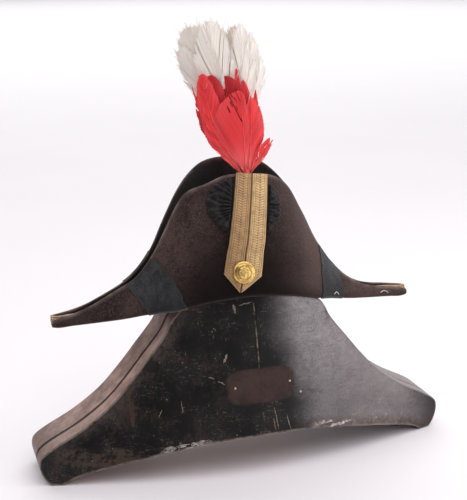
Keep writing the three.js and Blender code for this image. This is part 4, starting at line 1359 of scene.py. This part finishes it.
def add_wisps(shape, spots, marks, dice, downy):
    """Single barbs that stand out a little past the vane's edge."""
    chosen = np.flatnonzero(dice.uniform(0, 1, len(spots)) < 0.25 + 1.2 * downy)
    count = len(chosen)
    if count == 0:
        return
    tip = spots[chosen, -1]
    way = unit(tip - spots[chosen, -3])
    reach = dice.gamma(2.0, 0.45 + 2.6 * downy, (count, 1))
    curl = dice.normal(0, 0.2 + 0.15 * downy, (count, 3))
    side = unit(np.cross(way, WISP_FACING)) * (0.2 + 0.08 * downy)
    rows = []
    for step, wide in WISP_STEPS:
        middle = tip + way * reach * step + curl * reach * max(step, 0) ** 2
        rows.append(np.stack([middle - side * wide, middle + side * wide], axis=1))
    strips = np.stack(rows, axis=1)
    strip_marks = np.broadcast_to(marks[chosen, -1][:, None, None], (count, len(WISP_STEPS), 2, 4))
    start = np.arange(count)[:, None] * 2 * len(WISP_STEPS)
    first = start + 2 * np.arange(len(WISP_STEPS) - 1)[None, :]
    faces = np.stack([first, first + 1, first + 3, first + 2], axis=-1).reshape(-1, 4)
    shape.add(hat_place(strips), faces, strip_marks)


def red_plume(material):
    dice = np.random.default_rng(RED_SEED)
    shape = Shape()
    for n, row in enumerate(RED_FEATHERS):
        feather = Feather(*row)
        root = PLUME_NECK + np.array((0, np.sign(feather.tip_y) * 2.8, -5.0))
        add_feather(shape, root, feather, dice, RED_DOWN, NICKS if n == NICKED else ())
    shape.add_tube(np.linspace(PLUME_FOOT, PLUME_NECK, 8), STEM_RADIUS, 16, (-1, 0.5, 0.5, 1))
    shape.piece("plume_red_feathers", material, "plume_red", "red_feather", ease=False)


def white_plume(material):
    dice = np.random.default_rng(WHITE_SEED)
    shape = Shape()
    root = PLUME_HEART - np.array((0, 0, 8.0))
    for row in WHITE_FEATHERS:
        add_feather(shape, root, Feather(*row), dice, WHITE_DOWN)
    start = mix(PLUME_NECK, PLUME_FOOT, 0.85)
    core = np.concatenate([np.linspace(start, PLUME_NECK, 6), np.linspace(PLUME_NECK, PLUME_HEART, 8)[1:]])
    shape.add_tube(core, CORE_RADIUS, 12, (-1, 0.5, 0.5, 0))
    shape.piece("plume_white_feathers", material, "plume_white", "white_feather", ease=False)


# The bullion tassels
def bullion_tassel(way, side, material):
    shape = Shape()
    share = np.linspace(0, 1, STRAND_ROWS)
    along = mix(TASSEL_START, TASSEL_END, share)
    bed = BRIM["fold"](along) + FELT + GAP
    rounded = np.sqrt(np.clip(1 - ((share - 0.955) / 0.045).clip(0, 1) ** 2, 0.02, 1))
    length = share[:, None] * (TASSEL_END - TASSEL_START)
    twist = np.cos(2 * full_turn(STRAND_SIDES).T - 2 * math.pi * length / STRAND_PITCH)
    marks = together(twist, 0, 0, 0)
    cord = {"lobes": 2, "pitch": STRAND_PITCH, "ridge": STRAND_RIDGE}
    for n, (across, up) in enumerate(STRANDS):
        sway = 0.25 * np.sin(5 * share + n)
        path = together(way * along, across + sway, bed + up)
        shape.add_tube(path, STRAND_RADIUS * rounded, STRAND_SIDES, marks, **cord)

    turn = full_turn(40)
    tilt = np.linspace(-math.pi / 2, math.pi / 2, 24)[None, :]
    wound = np.cos(10 * turn + 6 * tilt)
    size = TASSEL_HEAD_RADIUS * (1 + 0.05 * wound)
    wide = size * np.cos(tilt)
    head = together(1.3 * size * np.sin(tilt), wide * np.cos(turn), wide * np.sin(turn))
    up = BRIM["fold"](TASSEL_START) + FELT + GAP + TASSEL_HEAD_RADIUS
    middle = np.array((way * TASSEL_START, 0, up))
    shape.add_grid(hat_place(middle + head), together(wound, 0, 0, 0), wrap_columns=True)
    shape.piece(f"tassel_{side}_bullion", material, f"tassel_{side}", "bullion")


# The thread caught on the right horn
def loose_threads(material):
    shape = Shape()
    share = np.linspace(-1, 1, THREAD_ROWS)
    for along, half, turn, rise, lift in THREADS:
        lifted = lift + 0.3 * np.cos(2 * share)
        path = brim_point(along + half * share, turn - rise * (1 - share**2), lifted)
        shape.add_tube(path, THREAD_RADIUS, 8, lobes=2, pitch=1.5, ridge=0.12)
    shape.piece("loose_threads", material, None, "white_feather")


# The tin box
def panel_depth(along, climb):
    share = np.abs(along) / BOX_HALF
    rim = mix(RIM_DEPTH_MIDDLE, RIM_DEPTH_END, share)
    return rim + PANEL_BULGE * (1 - np.clip(share, 0, 1) ** PANEL_FALL) * (1 - climb)


def box_loop():
    """The box's outline as one smooth closed line, over the top to the right and back underneath."""
    table = np.array(BOX_SECTIONS, float)
    top = table[:, (0, 1)]
    low = table[:, (0, 2)]
    flip = np.array((-1, 1))
    corners = np.concatenate([top[:0:-1] * flip, top, low[-2:0:-1], low[:-1] * flip])
    knot = np.sqrt(np.linalg.norm(np.roll(corners, -1, axis=0) - corners, axis=1))
    sections = len(table) - 1
    over = [END_STEPS if n in (sections - 1, sections) else LOOP_STEPS for n in range(2 * sections)]
    loop = []
    for n, count in enumerate(over + over[::-1]):
        before, start, end, after = (corners[(n + k) % len(corners)] for k in (-1, 0, 1, 2))
        first, span, last = (knot[(n + k) % len(knot)] for k in (-1, 0, 1))
        leave = ((start - before) / first - (end - before) / (first + span) + (end - start) / span) * span
        arrive = ((end - start) / span - (after - start) / (span + last) + (after - end) / last) * span
        p = (np.arange(count) / count)[:, None]
        ease = 3 * p**2 - 2 * p**3
        loop.append(mix(start, end, ease) + (p**3 - 2 * p**2 + p) * leave + (p**3 - p**2) * arrive)
    line = np.maximum(np.concatenate(loop), (-np.inf, 0))
    run = np.roll(line, -1, axis=0) - np.roll(line, 1, axis=0)
    out = np.stack([-run[:, 1], run[:, 0]], axis=1) / lengths(run)
    return Outline(line, out, sum(over))


def soft_outline(along, column):
    """The box's top or bottom line with its corners rubbed out."""
    table = np.array(BOX_SECTIONS, float)
    place = np.arange(-BOX_HALF, BOX_HALF + 1)
    line = np.interp(np.abs(place), table[:, 0], table[:, BOX_NAMES.index(column)])
    weight = hump(np.arange(-SOFT_REACH, SOFT_REACH + 1), SOFT_SPREAD)
    padded = np.pad(line, SOFT_REACH, mode="edge")
    return np.interp(along, place, np.convolve(padded, weight / weight.sum(), mode="valid"))


def tin_strip(outline, side, margin):
    """Rings from the parting line out to the rounded edge of the panel."""
    drawn = outline.line - outline.out * margin
    climb = np.where(np.arange(len(drawn)) < outline.over, 1.0, 0.0)
    edge = panel_depth(drawn[:, 0], climb) - margin
    start = side * (PARTING_Y + side * GAP / 2)
    lip = REAR_LIP if side > 0 else 0.0
    steps = []
    for share in STRIP_SHARES:
        steps.append((lip * smooth(0.09 - share, -0.004, 0.004), mix(start, edge - EDGE_ROUND, share)))
    for angle in np.linspace(0, math.pi / 2, ROUND_STEPS)[1:]:
        steps.append((EDGE_ROUND * (1 - math.cos(angle)), edge - EDGE_ROUND + EDGE_ROUND * math.sin(angle)))
    rings = []
    for inset, depth in steps:
        spot = drawn - outline.out * inset
        rings.append(together(spot[:, 0], side * depth, spot[:, 1]))
    return np.stack(rings, axis=1)


def tin_panel(outline, side, margin):
    """The face from its lower edge to its upper one, and how far each point lies from them."""
    drawn = outline.line - outline.out * (margin + EDGE_ROUND)
    top = drawn[: outline.over + 1]
    low = np.concatenate([drawn[:1], drawn[: outline.over - 1 : -1]])
    climb = np.linspace(0, 1, PANEL_ROWS + 1)[None, :]
    spot = mix(low[:, None], top[:, None], climb[..., None])
    x = spot[..., 0]
    z = spot[..., 1]
    tall = lengths(top - low)
    from_low = climb * tall
    from_edge = np.minimum(from_low, tall - from_low)
    soft_top = soft_outline(x, "top")
    soft_low = soft_outline(x, "bottom")
    soft_climb = np.clip((z - soft_low) / (soft_top - soft_low), 0, 1)
    inward = smooth(from_edge, 0, 24) * (1 - smooth(np.abs(x), 165, 215))
    depth = mix(panel_depth(x, climb) - margin, panel_depth(x, soft_climb) - margin, inward)
    bowl = np.sin(math.pi * climb) * (1 - (x / BOX_HALF) ** 2)
    depth = depth + 0.3 * hills(x / 45 + side, z / 40, seed=61) * bowl
    if side < 0:
        lap = SEAM_STEP * smooth(x, SEAM_X - 0.7, SEAM_X + 0.7)
        depth = depth + lap * np.exp(-np.maximum(x - SEAM_X, 0) / SEAM_FADE) * np.sqrt(bowl)
    return together(x, side * depth, z), from_low, from_edge


def tin_half(side, node, material):
    outline = box_loop()
    outer = tin_strip(outline, side, 0)
    inner = tin_strip(outline, side, TIN)
    ring = np.arange(outer.shape[1])[None, :]
    on_top = (np.arange(len(outline.line)) < outline.over)[:, None]
    low = np.where(on_top, FAR_OFF, 0.0)
    edge = np.where(ring < STRIP_RINGS - 1, 9.0, 0.0)
    strip = np.where(ring > STRIP_RINGS, 0.3, 1.0)
    outside = together(low, strip, edge, ring < PARTING_RINGS)
    inside = together(low + FAR_OFF + 0 * ring, 0.5, 9.0, 1)
    both = np.concatenate([inner[:, ::-1], outer], axis=1)
    shape = Shape()
    shape.add_grid(both, np.concatenate([inside[:, ::-1], outside], axis=1), wrap_columns=True)
    for margin, hidden in ((0, 0), (TIN, 1)):
        grid, from_low, from_edge = tin_panel(outline, side, margin)
        shape.add_grid(grid, together(from_low + 2 * FAR_OFF * hidden, 0, from_edge + 20 * hidden, hidden))
    return shape.piece(f"{node}_tin", material, node, "japan", sharp=35)


def surface_of(piece):
    """A search tree of a piece's faces, for laying small things on it."""
    points = [point.co for point in piece.data.vertices]
    faces = [face.vertices[:] for face in piece.data.polygons]
    return BVHTree.FromPolygons(points, faces)


def panel_point(skin, along, up, lift):
    """A place just off the front panel, straight in front of a spot of its outline."""
    along, up = np.broadcast_arrays(np.asarray(along, float), up)
    depth = []
    for x, z in zip(along.ravel(), up.ravel()):
        hit = skin.ray_cast(Vector((x * MM, -1, z * MM)), Vector((0, 1, 0)))[0]
        depth.append(hit.y / MM)
    return together(along, np.reshape(depth, along.shape) - lift, up)


def nail_heads(skin, material):
    shape = Shape()
    turn = full_turn(20)
    tilt = np.linspace(0, math.pi / 2, 7)[None, :]
    out = NAIL_RADIUS * np.cos(tilt)
    head = together(out * np.cos(turn), -NAIL_RISE * np.sin(tilt), out * np.sin(turn))
    for along, up in NAILS:
        shape.add_grid(panel_point(skin, along, up, 0.05) + head, wrap_columns=True)
    shape.piece("patch_nails", material, None, "japan")


def paint_scratches(skin, material):
    shape = Shape()
    share = np.linspace(0, 1, 24)[:, None]
    across = np.linspace(-1, 1, 5)[None, :]
    lift = 0.08 + 0.12 * (1 - across**2)
    pointed = np.sqrt(np.clip(1 - (2 * share - 1) ** 2, 0.02, 1))
    for n, (x0, z0, x1, z1, width) in enumerate(SCRATCHES):
        run = unit(np.array((x1 - x0, z1 - z0), float))
        half = width / 2 * pointed * (1 + 0.5 * hills(share * 9, 3.7 * n, seed=71))
        drift = 0.5 * hills(share * 5, 1.9 * n, seed=72)
        along = mix(x0, x1, share) - run[1] * (half * across + drift)
        up = mix(z0, z1, share) + run[0] * (half * across + drift)
        shape.add_grid(panel_point(skin, along, up, lift))
    shape.piece("paint_scratches", material, None, "japan")


# The picture: floor, light and camera
def stage_floor(material):
    mesh = bpy.data.meshes.new("floor")
    reach = FLOOR_REACH
    corners = [(-reach, -reach, 0), (reach, -reach, 0), (reach, reach, 0), (-reach, reach, 0)]
    mesh.from_pydata(corners, [], [(0, 1, 2, 3)])
    mesh.materials.append(material)
    stand("floor", mesh)


def softbox(name, azimuth, elevation, distance, width, height, glow, colour, aim):
    """An area light that faces the object. Azimuth 0 is in front of it and 90 on its right."""
    light = bpy.data.lights.new(name, "AREA")
    light.shape = "ELLIPSE"
    light.size = width
    light.size_y = height
    light.energy = glow * math.pi * math.pi / 4 * width * height
    light.color = colour
    turn = math.radians(azimuth)
    tilt = math.radians(elevation)
    way = Vector((math.sin(turn) * math.cos(tilt), -math.cos(turn) * math.cos(tilt), math.sin(tilt)))
    made = stand(name, light)
    made.location = Vector(aim) + way * distance
    made.rotation_euler = way.to_track_quat("Z", "Y").to_euler()


def studio_world():
    """A pale room that is brightest high up behind the object and dim towards the camera."""
    world = bpy.data.worlds.new("studio")
    world.use_nodes = True
    world.node_tree.nodes.clear()
    w = Nodes(world.node_tree)
    parts = w.node("ShaderNodeSeparateXYZ", {"Vector": w.node("ShaderNodeTexCoord").outputs["Generated"]})
    high_behind = w.times(w.span(parts.outputs["Y"], -0.3, 0.25), w.span(parts.outputs["Z"], 0.05, 0.5))
    sums = {0: high_behind, 1: ROOM_LIGHT, 2: ROOM_DIM}
    strength = w.node("ShaderNodeMath", sums, operation="MULTIPLY_ADD").outputs[0]
    back = w.node("ShaderNodeBackground", {"Color": ROOM_COLOUR, "Strength": strength})
    w.node("ShaderNodeOutputWorld", {"Surface": back.outputs["Background"]})
    bpy.context.scene.world = world


def picture_camera():
    yaw, pitch, roll = (math.radians(turn) for turn in CAMERA_TURNS)
    ahead = Vector((math.sin(yaw) * math.cos(pitch), math.cos(yaw) * math.cos(pitch), -math.sin(pitch)))
    level = Vector((math.cos(yaw), -math.sin(yaw), 0))
    upright = level.cross(ahead)
    right = level * math.cos(roll) + upright * math.sin(roll)
    up = upright * math.cos(roll) - level * math.sin(roll)
    data = bpy.data.cameras.new("camera")
    data.sensor_width = SENSOR
    data.lens = SENSOR * FOCAL_PIXELS / PICTURE_PIXELS
    data.clip_end = FARTHEST_SEEN
    camera = stand("camera", data)
    turn = Matrix((right, up, -ahead)).transposed().to_4x4()
    camera.matrix_world = Matrix.Translation(Vector(CAMERA_PLACE)) @ turn
    bpy.context.scene.camera = camera


def dress():
    felt = felt_finish()
    felt_brim(felt)
    felt_crown(felt)
    ribbon = ribbon_finish()
    for row in RIBBONS:
        ribbon_band(row, -1, ribbon)
        ribbon_band(row, 1, ribbon)
    silk_cockade(silk_finish())
    lace_strap(lace_finish())
    gilt_button(gilt_finish())
    red_plume(feather_finish("red feather", *RED_TONES, plain=0.5))
    white_plume(feather_finish("white feather", *WHITE_TONES, plain=0.7))
    bullion = bullion_finish()
    bullion_tassel(-1, "left", bullion)
    bullion_tassel(1, "right", bullion)
    loose_threads(thread_finish())
    japan = japan_finish()
    skin = surface_of(tin_half(-1, "box_front", japan))
    tin_half(1, "box_rear", japan)
    nail_heads(skin, nail_finish())
    paint_scratches(skin, bare_finish())


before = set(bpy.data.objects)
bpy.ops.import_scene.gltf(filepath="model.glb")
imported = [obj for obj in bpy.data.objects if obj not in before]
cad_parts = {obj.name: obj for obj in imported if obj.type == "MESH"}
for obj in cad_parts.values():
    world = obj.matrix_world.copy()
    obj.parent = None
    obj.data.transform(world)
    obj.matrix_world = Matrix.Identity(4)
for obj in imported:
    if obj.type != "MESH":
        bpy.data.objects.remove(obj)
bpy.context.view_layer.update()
dress()
stage_floor(floor_finish())
studio_world()
for row in LIGHTS:
    softbox(*row)
picture_camera()
bpy.context.scene.view_settings.view_transform = "Standard"
